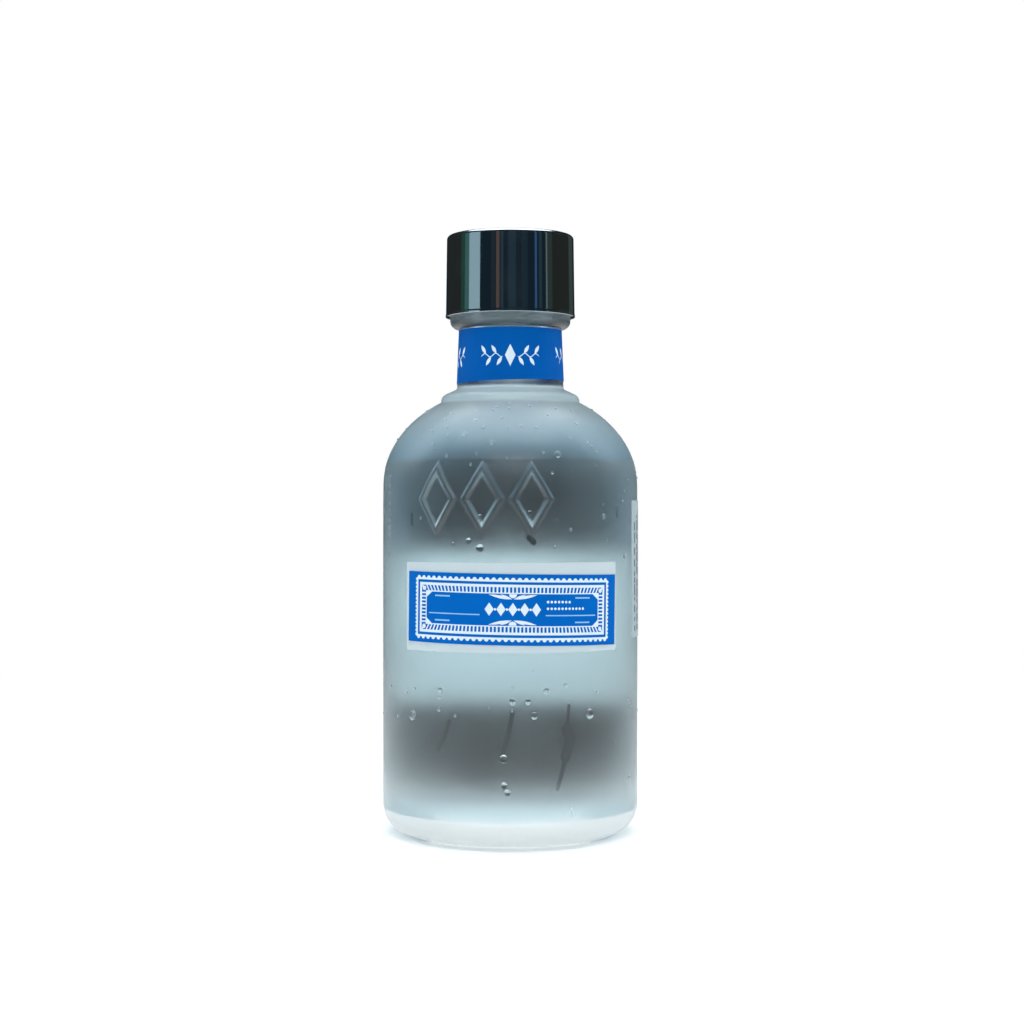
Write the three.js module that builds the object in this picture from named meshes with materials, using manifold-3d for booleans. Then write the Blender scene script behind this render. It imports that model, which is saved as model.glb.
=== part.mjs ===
// A half-size spirit bottle: a frosted glass bottle filled with vodka, closed by a bright metal screw cap.
// Millimetres, +Z up, origin at the centre of the foot, label towards -Y.
import * as THREE from "three";
import { mergeVertices } from "three/addons/utils/BufferGeometryUtils.js";
import Module from "manifold-3d";

const TURN = 2 * Math.PI;
const DEGREE = Math.PI / 180;

// How finely round shapes are faceted.
const LATHE_SEGMENTS = 60;
const ARC_STEP = 15 * DEGREE;
const WRAP_STEP = 3 * DEGREE;
const THREAD_STEPS_PER_TURN = 30;

// Body of the bottle, from the foot up.
const BODY_RADIUS = 36.5;
const HEEL_RADIUS = 8.5;
const FOOT_RING_WIDTH = 2.2;
const FOOT_RING_INNER_RADIUS = 1.5;
const PUNT_DEPTH = 4;
const SHOULDER_BOTTOM = 99.2;
const SHOULDER_RISE = 28.4;
const WALL = 3.2;
const FLOOR_THICKNESS = 6.6;
const FLOOR_RISE = 3;
const INNER_HEEL_RADIUS = 7;

// Collar at the top of the shoulder.
const COLLAR_RADIUS = 19.9;
const COLLAR_HEIGHT = 4.4;
const COLLAR_LAND = 0.4;
const COLLAR_EDGE_RADIUS = 2;
const COLLAR_BOTTOM = SHOULDER_BOTTOM + SHOULDER_RISE * Math.sqrt(1 - (COLLAR_RADIUS / BODY_RADIUS) ** 2);

// Neck, bead and finish, each standing on the one below it.
const BORE_RADIUS = 9.5;
const NECK_LENGTH = 16.7;
const NECK_TOP_WALL = 5.1;
const NECK_BOTTOM_WALL = 4;
const NECK_FLARE = 0.65;
const NECK_TOP_RADIUS = BORE_RADIUS + NECK_TOP_WALL;
const NECK_BOTTOM_RADIUS = NECK_TOP_RADIUS + NECK_FLARE;
const NECK_BOTTOM = COLLAR_BOTTOM + COLLAR_HEIGHT;
const FINISH_WALL = 4.2;
const FINISH_HEIGHT = 19.3;
const FINISH_RADIUS = BORE_RADIUS + FINISH_WALL;
const LIP_EDGE_RADIUS = 0.8;
const BEAD_OVERHANG = 3.6;
const BEAD_UNDERSIDE_RADIUS = 2.3;
const BEAD_HEIGHT = 4.6;
const BEAD_EDGE_RADIUS = 0.8;
const BEAD_RADIUS = FINISH_RADIUS + BEAD_OVERHANG;
const BEAD_BOTTOM = NECK_BOTTOM + NECK_LENGTH;
const BEAD_TOP = BEAD_BOTTOM + BEAD_HEIGHT;
const LIP_TOP = BEAD_TOP + FINISH_HEIGHT;

// Thread shared by the glass neck and the cap's insert.
const THREAD_PITCH = 4.23;
const THREAD_TURNS = 2.25;
const THREAD_HEIGHT = 1.2;
const THREAD_BASE = 2.2;
const THREAD_CREST = 1.1;
const THREAD_BELOW_LIP = 2.4;
const THREAD_ROOTING = 0.5;
const THREAD_BOTTOM = LIP_TOP - THREAD_BELOW_LIP - THREAD_TURNS * THREAD_PITCH;

// Sealing liner, threaded insert and bright shell of the cap, from the lip outwards.
const LINER_SEAT_GAP = 0.02;
const LINER_THICKNESS = 1.3;
const LINER_RIM = 0.7;
const LINER_SIDE_GAP = 0.2;
const RETAINING_RIB_PLAY = 0.2;
const RETAINING_RIB_HEIGHT = 0.6;
const RETAINING_RIB_DROP = 0.3;
const INSERT_WALL = 2.35;
const INSERT_ROOF = 1;
const INSERT_THREAD_PLAY = 0.4;
const INSERT_THREAD_HEIGHT = 1.1;
const INSERT_THREAD_BASE = 1.6;
const INSERT_THREAD_CREST = 0.8;
const INSERT_THREAD_TURNS = 1.5;
const INSERT_BEAD_GAP = 0.5;
const PRESS_GAP = 0.05;
const SHELL_WALL = 0.5;
const SHELL_FLARE = 0.3;
const SHELL_EDGE_RADIUS = 1.1;
const SHELL_OVER_BEAD = 1.2;
const LINER_BOTTOM = LIP_TOP + LINER_SEAT_GAP;
const LINER_TOP = LINER_BOTTOM + LINER_THICKNESS;
const LINER_RADIUS = FINISH_RADIUS + LINER_RIM;
const INSERT_TOP = LINER_TOP + LINER_SEAT_GAP + INSERT_ROOF;
const INSERT_BOTTOM = BEAD_TOP + INSERT_BEAD_GAP;
const INSERT_INNER_RADIUS = FINISH_RADIUS + THREAD_HEIGHT + INSERT_THREAD_PLAY;
const SHELL_TOP = INSERT_TOP + PRESS_GAP + SHELL_WALL;
const SHELL_BOTTOM = BEAD_TOP - SHELL_OVER_BEAD;
const SHELL_TOP_RADIUS = INSERT_INNER_RADIUS + INSERT_WALL + PRESS_GAP + SHELL_WALL;
const SHELL_BOTTOM_RADIUS = SHELL_TOP_RADIUS + SHELL_FLARE;

// Raised ornament on the shoulder: three upright lozenge frames.
const LOZENGE_COUNT = 3;
const LOZENGE_WIDTH = 11.6;
const LOZENGE_HEIGHT = 18.2;
const LOZENGE_STROKE = 2.2;
const LOZENGE_SPACING = 13.4;
const LOZENGE_MIDDLE = 95.1;
const LOZENGE_ANGLE = -12 * DEGREE;
const LOZENGE_RELIEF = 0.6;
const LOZENGE_ROOTING = 1.2;
const LOZENGE_SIDE_STEPS = 4;

// Paper and film. Angles are measured from the front, positive towards +X.
const LABEL_GAP = 0.05;
const FILM_THICKNESS = 0.15;
const PAPER_THICKNESS = 0.15;
const FRONT_FILM = { width: 65.9, height: 24.2, middle: 65.8, angle: 0.7 * DEGREE, lean: 0 };
const FRONT_PANEL = { width: 64.4, height: 19.2, middle: 65.3, angle: 1.1 * DEGREE, lean: -0.95 * DEGREE };
const SIDE_LABEL = { width: 28, height: 38.6, middle: 75.7, angle: 91 * DEGREE, lean: 0.8 * DEGREE };
const BACK_LABEL = { width: 62, height: 45, middle: 57.5, angle: 180 * DEGREE, lean: 0 };
const BAND_THICKNESS = 0.15;
const BAND_UNDER_BEAD = 0.5;
const BAND_OVER_COLLAR = 0.9;
const BAND_TOP = BEAD_BOTTOM - BAND_UNDER_BEAD;
const BAND_BOTTOM = NECK_BOTTOM + BAND_OVER_COLLAR;
const BAND_LEAN = 1.6 * DEGREE;

// Contents.
const FILL_IN_NECK = 3.6;
const FILL_LEVEL = NECK_BOTTOM + FILL_IN_NECK;
const LIQUID_GAP = 0.02;

const wasm = await Module();
wasm.setup();

// A closed three.js geometry as a solid that can be joined and cut.
function solidOf(geometry) {
  const plain = geometry.index ? geometry.toNonIndexed() : geometry.clone();
  plain.deleteAttribute("normal");
  plain.deleteAttribute("uv");
  const merged = mergeVertices(plain, 1e-4);
  return new wasm.Manifold(
    new wasm.Mesh({
      numProp: 3,
      vertProperties: merged.attributes.position.array,
      triVerts: new Uint32Array(merged.index.array),
    }),
  );
}

// The geometry of a solid.
function geometryOf(solid) {
  const mesh = solid.getMesh();
  const geometry = new THREE.BufferGeometry();
  geometry.setAttribute("position", new THREE.BufferAttribute(mesh.vertProperties, 3));
  geometry.setIndex(new THREE.BufferAttribute(mesh.triVerts, 1));
  geometry.computeVertexNormals();
  return geometry;
}

// Points [radius, height] along a quarter, or less, of an ellipse about a centre, between two angles.
function arc(centreRadius, centreHeight, acrossRadius, upRadius, fromAngle, toAngle, step = ARC_STEP) {
  const count = Math.max(2, Math.ceil(Math.abs(toAngle - fromAngle) / step));
  const points = [];
  for (let i = 0; i <= count; i += 1) {
    const angle = fromAngle + ((toAngle - fromAngle) * i) / count;
    points.push([centreRadius + acrossRadius * Math.cos(angle), centreHeight + upRadius * Math.sin(angle)]);
  }
  return points;
}

// A profile of [radius, height] points turned about the Z axis.
function turned(profile) {
  const outline = profile.map(([radius, height]) => new THREE.Vector2(Math.max(radius, 0), height));
  return new THREE.LatheGeometry(outline, LATHE_SEGMENTS).rotateX(Math.PI / 2);
}

// Radius of the outside of the shoulder or the body at a height.
function outsideRadius(height) {
  const rise = Math.max(0, height - SHOULDER_BOTTOM) / SHOULDER_RISE;
  return BODY_RADIUS * Math.sqrt(1 - rise * rise);
}

// Angle at which an ellipse of this half-width reaches a radius.
function angleAtRadius(radius, halfWidth) {
  return Math.acos(radius / halfWidth);
}

// Bends a flat geometry, X across, Y up and Z out of the page, round the bottle's surface at an angle from the front.
function wrapped(geometry, surfaceRadius, middle, angle) {
  const position = geometry.attributes.position;
  const reference = surfaceRadius(middle);
  for (let i = 0; i < position.count; i += 1) {
    const height = middle + position.getY(i);
    const around = angle + position.getX(i) / reference;
    const radius = surfaceRadius(height) + position.getZ(i);
    position.setXYZ(i, radius * Math.sin(around), -radius * Math.cos(around), height);
  }
  return geometry;
}

// Profile of the outside of the glass, from the middle of the foot up to the lip.
function outsideProfile() {
  const footRadius = BODY_RADIUS - HEEL_RADIUS;
  const puntRadius = footRadius - FOOT_RING_WIDTH;
  const collarLandTop = COLLAR_BOTTOM + COLLAR_LAND;
  const puntShape = arc(0, FOOT_RING_INNER_RADIUS, puntRadius, PUNT_DEPTH - FOOT_RING_INNER_RADIUS, Math.PI / 2, 0);
  return [
    ...puntShape,
    [puntRadius + FOOT_RING_INNER_RADIUS / 4, FOOT_RING_INNER_RADIUS / 3],
    [puntRadius + FOOT_RING_INNER_RADIUS / 2, 0],
    ...arc(footRadius, HEEL_RADIUS, HEEL_RADIUS, HEEL_RADIUS, -Math.PI / 2, 0),
    ...arc(0, SHOULDER_BOTTOM, BODY_RADIUS, SHOULDER_RISE, 0, angleAtRadius(COLLAR_RADIUS, BODY_RADIUS), ARC_STEP / 2),
    ...arc(
      COLLAR_RADIUS - COLLAR_EDGE_RADIUS,
      collarLandTop,
      COLLAR_EDGE_RADIUS,
      COLLAR_EDGE_RADIUS,
      0,
      Math.PI / 4,
    ),
    [NECK_BOTTOM_RADIUS + COLLAR_EDGE_RADIUS / 2, NECK_BOTTOM - COLLAR_EDGE_RADIUS / 4],
    [NECK_BOTTOM_RADIUS, NECK_BOTTOM + COLLAR_EDGE_RADIUS / 3],
    [NECK_TOP_RADIUS, BEAD_BOTTOM],
    ...arc(
      BEAD_RADIUS - BEAD_UNDERSIDE_RADIUS,
      BEAD_BOTTOM + BEAD_UNDERSIDE_RADIUS,
      BEAD_UNDERSIDE_RADIUS,
      BEAD_UNDERSIDE_RADIUS,
      -Math.PI / 2,
      0,
    ),
    ...arc(
      BEAD_RADIUS - BEAD_EDGE_RADIUS,
      BEAD_TOP - BEAD_EDGE_RADIUS,
      BEAD_EDGE_RADIUS,
      BEAD_EDGE_RADIUS,
      0,
      Math.PI / 2,
      3 * ARC_STEP,
    ),
    [FINISH_RADIUS, BEAD_TOP],
    ...arc(
      FINISH_RADIUS - LIP_EDGE_RADIUS,
      LIP_TOP - LIP_EDGE_RADIUS,
      LIP_EDGE_RADIUS,
      LIP_EDGE_RADIUS,
      0,
      Math.PI / 2,
      3 * ARC_STEP,
    ),
  ];
}

// Profile of the inside of the glass, from the lip down to the middle of the floor.
function insideProfile(gap = 0) {
  const bodyRadius = BODY_RADIUS - WALL - gap;
  const shoulderRise = SHOULDER_RISE - WALL - gap;
  const neckRadius = NECK_BOTTOM_RADIUS - NECK_BOTTOM_WALL - gap;
  const heelRadius = INNER_HEEL_RADIUS - gap;
  const floor = FLOOR_THICKNESS + gap;
  const shoulderTop = angleAtRadius(neckRadius + WALL, bodyRadius);
  return [
    [BORE_RADIUS - gap, LIP_TOP],
    [BORE_RADIUS - gap, BEAD_BOTTOM],
    [neckRadius, NECK_BOTTOM],
    ...arc(0, SHOULDER_BOTTOM, bodyRadius, shoulderRise, shoulderTop, 0, ARC_STEP / 2),
    ...arc(bodyRadius - heelRadius, floor + heelRadius, heelRadius, heelRadius, 0, -Math.PI / 2),
    ...arc(0, floor, bodyRadius - heelRadius, FLOOR_RISE, Math.PI / 6, Math.PI / 2, 2 * ARC_STEP),
  ];
}

// A right-handed helical ridge rooted in a cylinder. outward is 1 on a neck and -1 in a cap.
function threadRidge({ rootRadius, outward, height, base, crest, turns, bottom }) {
  const flare = (THREAD_ROOTING * (base - crest)) / height;
  const rootHalf = (base + flare) / 2;
  const section = new THREE.Shape();
  section.moveTo(-rootHalf, -THREAD_ROOTING * outward);
  section.lineTo(-crest / 2, height * outward);
  section.lineTo(crest / 2, height * outward);
  section.lineTo(rootHalf, -THREAD_ROOTING * outward);
  section.closePath();
  const steps = Math.round(turns * THREAD_STEPS_PER_TURN);
  const ridge = new THREE.ExtrudeGeometry(section, { depth: turns, steps, bevelEnabled: false });
  const position = ridge.attributes.position;
  for (let i = 0; i < position.count; i += 1) {
    const turn = position.getZ(i);
    const radius = rootRadius + position.getY(i);
    const rise = bottom + turn * THREAD_PITCH + position.getX(i);
    position.setXYZ(i, radius * Math.cos(turn * TURN), radius * Math.sin(turn * TURN), rise);
  }
  return solidOf(ridge);
}

// One upright lozenge frame, flat, with its outer and inner sides split so that it can be bent.
function lozengeFrame(depth) {
  const corners = (width, height) => [
    [width / 2, 0],
    [0, height / 2],
    [-width / 2, 0],
    [0, -height / 2],
  ];
  const sides = (width, height) => {
    const points = [];
    corners(width, height).forEach(([x, y], i, all) => {
      const [nextX, nextY] = all[(i + 1) % all.length];
      for (let step = 0; step < LOZENGE_SIDE_STEPS; step += 1) {
        const share = step / LOZENGE_SIDE_STEPS;
        points.push(new THREE.Vector2(x + (nextX - x) * share, y + (nextY - y) * share));
      }
    });
    return points;
  };
  const slant = Math.hypot(LOZENGE_WIDTH, LOZENGE_HEIGHT);
  const shape = new THREE.Shape(sides(LOZENGE_WIDTH, LOZENGE_HEIGHT));
  const innerWidth = LOZENGE_WIDTH - (2 * LOZENGE_STROKE * slant) / LOZENGE_HEIGHT;
  const innerHeight = LOZENGE_HEIGHT - (2 * LOZENGE_STROKE * slant) / LOZENGE_WIDTH;
  shape.holes.push(new THREE.Path(sides(innerWidth, innerHeight).reverse()));
  return new THREE.ExtrudeGeometry(shape, { depth, bevelEnabled: false });
}

// The bottle: one piece of glass with its foot, shoulder, collar, bead, thread and raised ornament.
function glassBottle() {
  let glass = solidOf(turned([...outsideProfile(), ...insideProfile()]));
  for (let i = 0; i < LOZENGE_COUNT; i += 1) {
    const offset = (i - (LOZENGE_COUNT - 1) / 2) * LOZENGE_SPACING;
    const frame = lozengeFrame(LOZENGE_ROOTING + LOZENGE_RELIEF).translate(0, 0, -LOZENGE_ROOTING);
    const angle = LOZENGE_ANGLE + offset / BODY_RADIUS;
    glass = glass.add(solidOf(wrapped(frame, outsideRadius, LOZENGE_MIDDLE, angle)));
  }
  const thread = threadRidge({
    rootRadius: FINISH_RADIUS,
    outward: 1,
    height: THREAD_HEIGHT,
    base: THREAD_BASE,
    crest: THREAD_CREST,
    turns: THREAD_TURNS,
    bottom: THREAD_BOTTOM,
  });
  return geometryOf(glass.add(thread));
}

// The vodka: it fills the glass up to a level hidden by the neck band.
function vodka() {
  const neckRadius = NECK_BOTTOM_RADIUS - NECK_BOTTOM_WALL;
  const narrowing = (neckRadius - BORE_RADIUS) / (BEAD_BOTTOM - NECK_BOTTOM);
  const surfaceRadius = neckRadius - narrowing * (FILL_LEVEL - NECK_BOTTOM) - LIQUID_GAP;
  const wetted = insideProfile(LIQUID_GAP).slice(2);
  return turned([[0, FILL_LEVEL], [surfaceRadius, FILL_LEVEL], ...wetted].reverse());
}

// A plate of paper or film wrapped on the body.
function label({ width, height, middle, angle, lean }, innerRadius, thickness) {
  const columns = Math.ceil(width / innerRadius / WRAP_STEP);
  const plate = new THREE.BoxGeometry(width, height, thickness, columns, 1, 1);
  plate.rotateZ(lean).translate(0, 0, thickness / 2);
  return wrapped(plate, () => innerRadius, middle, angle);
}

// The paper band round the neck, cut a little aslant at its lower edge.
function neckBand() {
  const slope = (NECK_BOTTOM_RADIUS - NECK_TOP_RADIUS) / (BEAD_BOTTOM - NECK_BOTTOM);
  const inner = (height) => NECK_TOP_RADIUS + LABEL_GAP + slope * (BEAD_BOTTOM - height);
  const outer = (height) => inner(height) + BAND_THICKNESS;
  const tube = solidOf(
    turned([
      [inner(BAND_BOTTOM), BAND_BOTTOM],
      [outer(BAND_BOTTOM), BAND_BOTTOM],
      [outer(BAND_TOP), BAND_TOP],
      [inner(BAND_TOP), BAND_TOP],
      [inner(BAND_BOTTOM), BAND_BOTTOM],
    ]),
  );
  const knifeSize = 4 * NECK_BOTTOM_RADIUS;
  const knife = new THREE.BoxGeometry(knifeSize, knifeSize, knifeSize);
  const cutHeight = BAND_BOTTOM + NECK_BOTTOM_RADIUS * Math.tan(BAND_LEAN);
  knife.translate(0, 0, -knifeSize / 2).rotateY(-BAND_LEAN).translate(0, 0, cutHeight);
  return geometryOf(tube.subtract(solidOf(knife)));
}

// The cap's drawn metal shell, with a rounded crown and a plain open skirt.
function capShell() {
  const crown = arc(
    SHELL_TOP_RADIUS - SHELL_EDGE_RADIUS,
    SHELL_TOP - SHELL_EDGE_RADIUS,
    SHELL_EDGE_RADIUS,
    SHELL_EDGE_RADIUS,
    0,
    Math.PI / 2,
  );
  const innerEdge = SHELL_EDGE_RADIUS - SHELL_WALL;
  const underCrown = arc(
    SHELL_TOP_RADIUS - SHELL_EDGE_RADIUS,
    SHELL_TOP - SHELL_EDGE_RADIUS,
    innerEdge,
    innerEdge,
    Math.PI / 2,
    0,
    3 * ARC_STEP,
  );
  return turned([
    [0, SHELL_TOP - SHELL_WALL],
    ...underCrown,
    [SHELL_BOTTOM_RADIUS - SHELL_WALL, SHELL_BOTTOM],
    [SHELL_BOTTOM_RADIUS, SHELL_BOTTOM],
    ...crown,
    [0, SHELL_TOP],
  ]);
}

// Radius of the inside of the shell's skirt at a height.
function shellInnerRadius(height) {
  const share = (height - SHELL_BOTTOM) / (SHELL_TOP - SHELL_EDGE_RADIUS - SHELL_BOTTOM);
  return SHELL_BOTTOM_RADIUS - SHELL_WALL - share * (SHELL_BOTTOM_RADIUS - SHELL_TOP_RADIUS);
}

// The threaded plastic insert pressed into the shell.
function capInsert() {
  const edge = SHELL_EDGE_RADIUS;
  const ribRadius = FINISH_RADIUS + RETAINING_RIB_PLAY;
  const ribTop = LINER_BOTTOM - RETAINING_RIB_DROP;
  const ribBottom = ribTop - RETAINING_RIB_HEIGHT;
  const shape = turned([
    [0, LINER_TOP + LINER_SEAT_GAP],
    [INSERT_INNER_RADIUS, LINER_TOP + LINER_SEAT_GAP],
    [INSERT_INNER_RADIUS, ribTop],
    [ribRadius, ribTop],
    [ribRadius, ribBottom],
    [INSERT_INNER_RADIUS, ribBottom - RETAINING_RIB_HEIGHT],
    [INSERT_INNER_RADIUS, INSERT_BOTTOM],
    [shellInnerRadius(INSERT_BOTTOM) - PRESS_GAP, INSERT_BOTTOM],
    [shellInnerRadius(INSERT_TOP - edge) - PRESS_GAP, INSERT_TOP - edge],
    [shellInnerRadius(INSERT_TOP - edge) - PRESS_GAP - edge, INSERT_TOP],
    [0, INSERT_TOP],
  ]);
  const halfGap = (THREAD_BASE + INSERT_THREAD_BASE) / 2;
  const ridge = threadRidge({
    rootRadius: INSERT_INNER_RADIUS,
    outward: -1,
    height: INSERT_THREAD_HEIGHT,
    base: INSERT_THREAD_BASE,
    crest: INSERT_THREAD_CREST,
    turns: INSERT_THREAD_TURNS,
    bottom: THREAD_BOTTOM - halfGap,
  });
  return geometryOf(solidOf(shape).add(ridge));
}

// The compressible disc that seals on the lip, held in the insert above its rib.
function capLiner() {
  const radius = Math.min(LINER_RADIUS, INSERT_INNER_RADIUS - LINER_SIDE_GAP);
  const disc = new THREE.CylinderGeometry(radius, radius, LINER_TOP - LINER_BOTTOM, LATHE_SEGMENTS);
  return disc.rotateX(Math.PI / 2).translate(0, 0, (LINER_TOP + LINER_BOTTOM) / 2);
}

const FROSTED_GLASS = new THREE.MeshStandardMaterial({ color: 0xa9bcc4, roughness: 0.5, metalness: 0 });
const SPIRIT = new THREE.MeshStandardMaterial({ color: 0xd8e4e8, roughness: 0.05, metalness: 0 });
const BLUE_PAPER = new THREE.MeshStandardMaterial({ color: 0x0a5cb4, roughness: 0.55, metalness: 0 });
const CLEAR_FILM = new THREE.MeshStandardMaterial({ color: 0xc8d6dd, roughness: 0.3, metalness: 0 });
const WHITE_PAPER = new THREE.MeshStandardMaterial({ color: 0xdfe4e4, roughness: 0.7, metalness: 0 });
const BRIGHT_METAL = new THREE.MeshStandardMaterial({ color: 0xb9bfc2, roughness: 0.08, metalness: 1 });
const WHITE_PLASTIC = new THREE.MeshStandardMaterial({ color: 0xe4e4e0, roughness: 0.5, metalness: 0 });
const FOAM = new THREE.MeshStandardMaterial({ color: 0xf0efe9, roughness: 0.9, metalness: 0 });

// Adds one named piece to a group.
function add(group, name, geometry, material) {
  const mesh = new THREE.Mesh(geometry, material);
  mesh.name = name;
  group.add(mesh);
}

const filmRadius = BODY_RADIUS + LABEL_GAP;
const panelRadius = filmRadius + FILM_THICKNESS + LABEL_GAP;

const bottle = new THREE.Group();
add(bottle, "glass_bottle", glassBottle(), FROSTED_GLASS);
add(bottle, "vodka", vodka(), SPIRIT);
add(bottle, "neck_band", neckBand(), BLUE_PAPER);
add(bottle, "front_label_film", label(FRONT_FILM, filmRadius, FILM_THICKNESS), CLEAR_FILM);
add(bottle, "front_label", label(FRONT_PANEL, panelRadius, PAPER_THICKNESS), BLUE_PAPER);
add(bottle, "side_label", label(SIDE_LABEL, filmRadius, PAPER_THICKNESS), WHITE_PAPER);
add(bottle, "back_label", label(BACK_LABEL, filmRadius, PAPER_THICKNESS), WHITE_PAPER);

const cap = new THREE.Group();
add(cap, "cap_shell", capShell(), BRIGHT_METAL);
add(cap, "cap_insert", capInsert(), WHITE_PLASTIC);
add(cap, "cap_liner", capLiner(), FOAM);

const spiritBottle = new THREE.Group();
spiritBottle.add(bottle, cap);

export default spiritBottle;
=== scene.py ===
"""A cold, frosted spirit bottle with a bright screw cap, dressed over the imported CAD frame."""

import logging
import math
import random
from collections.abc import Callable, Iterable, Sequence
from dataclasses import dataclass
from enum import Enum, IntEnum

import bmesh
import bpy
from mathutils import Matrix, Vector


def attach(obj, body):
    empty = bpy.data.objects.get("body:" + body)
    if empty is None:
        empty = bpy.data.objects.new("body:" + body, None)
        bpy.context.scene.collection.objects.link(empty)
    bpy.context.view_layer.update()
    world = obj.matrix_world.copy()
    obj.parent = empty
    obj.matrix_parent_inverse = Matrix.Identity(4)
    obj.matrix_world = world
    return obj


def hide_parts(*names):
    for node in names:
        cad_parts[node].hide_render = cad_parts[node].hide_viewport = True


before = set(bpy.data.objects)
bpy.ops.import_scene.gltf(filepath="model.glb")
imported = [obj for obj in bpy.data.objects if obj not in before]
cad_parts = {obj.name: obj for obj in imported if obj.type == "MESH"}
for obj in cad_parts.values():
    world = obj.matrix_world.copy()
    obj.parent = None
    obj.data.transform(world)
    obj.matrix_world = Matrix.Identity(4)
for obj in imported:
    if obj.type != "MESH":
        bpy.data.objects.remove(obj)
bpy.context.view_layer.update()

MM = 0.001
# Every label is a sheet this thick that lies this far off what is under it, with its print just above, in
# millimetres.
SHEET = 0.15
SHEET_GAP = 0.05
PRINT_GAP = 0.02
LOG = logging.getLogger("bottle")

Point = tuple[float, float]
Socket = bpy.types.NodeSocket


class Body(Enum):
    """The CAD bodies that the pieces ride on."""

    BOTTLE = "bottle"
    LINER = "liner"
    CAP = "cap"


class Slot(Enum):
    """The record's material slots."""

    GLASS = "frosted_glass"
    VODKA = "vodka"
    BLUE = "blue_paper"
    FILM = "clear_film"
    WHITE = "white_paper"
    METAL = "bright_metal"
    PLASTIC = "white_plastic"
    FOAM = "foam_liner"


class Glass(IntEnum):
    """The order of the glass bottle's materials."""

    FROSTED = 0
    SMOOTH = 1
    WETTED = 2
    FOOT = 3


class Ink(IntEnum):
    """The order of a print's inks."""

    MAIN = 0
    PALE = 1


def linear(colour: str) -> tuple[float, float, float, float]:
    """Turns an sRGB hex colour into linear RGBA.

    Args:
        colour: Six hex digits, such as "8FA3AD".

    Returns:
        Linear red, green, blue and an alpha of 1.
    """
    channels = [int(colour[i : i + 2], 16) / 255 for i in (0, 2, 4)]
    turned = [c / 12.92 if c <= 0.04045 else ((c + 0.055) / 1.055) ** 2.4 for c in channels]
    return (turned[0], turned[1], turned[2], 1.0)


def add_node(
    tree: bpy.types.NodeTree, kind: str, inputs: dict | None = None, **settings: object
) -> bpy.types.Node:
    """Adds a node, sets it up and links its inputs.

    Args:
        tree: The node tree.
        kind: The node's type.
        inputs: Input name or index to a value, or to a socket that is linked.
        settings: Attributes set on the node.

    Returns:
        The new node.
    """
    node = tree.nodes.new(kind)
    for name, value in settings.items():
        setattr(node, name, value)
    for key, value in (inputs or {}).items():
        if isinstance(value, bpy.types.NodeSocket):
            tree.links.new(value, node.inputs[key])
        else:
            node.inputs[key].default_value = value
    return node


@dataclass(frozen=True)
class Finish:
    """A surface: its constant shader values and the fine detail on it.

    grain is the size of the fine bump in metres and grain_depth its height. mottle is how
    far the colour wanders towards second, over patches of patch metres.
    """

    name: str
    colour: str
    roughness: float
    ior: float = 1.5
    metallic: float = 0.0
    transmission: float = 0.0
    coat: float = 0.0
    specular_level: float = 0.5
    alpha: float = 1.0
    second: str | None = None
    patch: float = 0.012
    mottle: float = 0.3
    grain: float = 0.0004
    grain_depth: float = 0.00001
    uneven: float = 0.05

    def build(self) -> bpy.types.Material:
        """Makes the material on its first use.

        Returns:
            The material.
        """
        found = bpy.data.materials.get(self.name)
        if found:
            return found
        material = bpy.data.materials.new(self.name)
        material.use_nodes = True
        tree = material.node_tree
        tree.nodes.clear()
        place = add_node(tree, "ShaderNodeTexCoord").outputs["Object"]
        shader = add_node(
            tree,
            "ShaderNodeBsdfPrincipled",
            {
                "Base Color": linear(self.colour),
                "Roughness": self.roughness,
                "IOR": self.ior,
                "Metallic": self.metallic,
                "Transmission Weight": self.transmission,
                "Coat Weight": self.coat,
                "Specular IOR Level": self.specular_level,
                "Alpha": self.alpha,
            },
        )
        self.detail(tree, shader, place)
        add_node(tree, "ShaderNodeOutputMaterial", {"Surface": self.surface(tree, shader, place)})
        return material

    def surface(self, tree: bpy.types.NodeTree, shader: bpy.types.Node, place: Socket) -> Socket:
        """Returns the shader's output."""
        return shader.outputs["BSDF"]

    def detail(self, tree: bpy.types.NodeTree, shader: bpy.types.Node, place: Socket) -> None:
        """Adds the colour patches, uneven gloss and fine bump.

        Args:
            tree: The material's tree.
            shader: Its principled shader.
            place: Object coordinates.
        """
        patches = add_node(
            tree, "ShaderNodeTexNoise", {"Vector": place, "Scale": 1 / self.patch, "Detail": 3.0}
        ).outputs["Fac"]
        if self.second:
            share = add_node(
                tree,
                "ShaderNodeMapRange",
                {"Value": patches, "From Min": 0.35, "From Max": 0.65, "To Max": self.mottle},
            )
            mixed = add_node(
                tree,
                "ShaderNodeMix",
                {0: share.outputs[0], 6: linear(self.colour), 7: linear(self.second)},
                data_type="RGBA",
            )
            tree.links.new(mixed.outputs[2], shader.inputs["Base Color"])
        if self.uneven:
            gloss = add_node(
                tree,
                "ShaderNodeMapRange",
                {
                    "Value": patches,
                    "From Min": 0.3,
                    "From Max": 0.7,
                    "To Min": max(0.0, self.roughness - self.uneven),
                    "To Max": self.roughness + self.uneven,
                },
            )
            tree.links.new(self.gloss(tree, gloss.outputs[0]), shader.inputs["Roughness"])
        grain = add_node(
            tree, "ShaderNodeTexNoise", {"Vector": place, "Scale": 1 / self.grain, "Detail": 2.0}
        )
        bump = add_node(
            tree,
            "ShaderNodeBump",
            {"Height": grain.outputs["Fac"], "Distance": self.grain_depth, "Strength": 1.0},
        )
        tree.links.new(bump.outputs["Normal"], shader.inputs["Normal"])

    def gloss(self, tree: bpy.types.NodeTree, uneven: Socket) -> Socket:
        """Returns the roughness to use, given the uneven one."""
        return uneven


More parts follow.
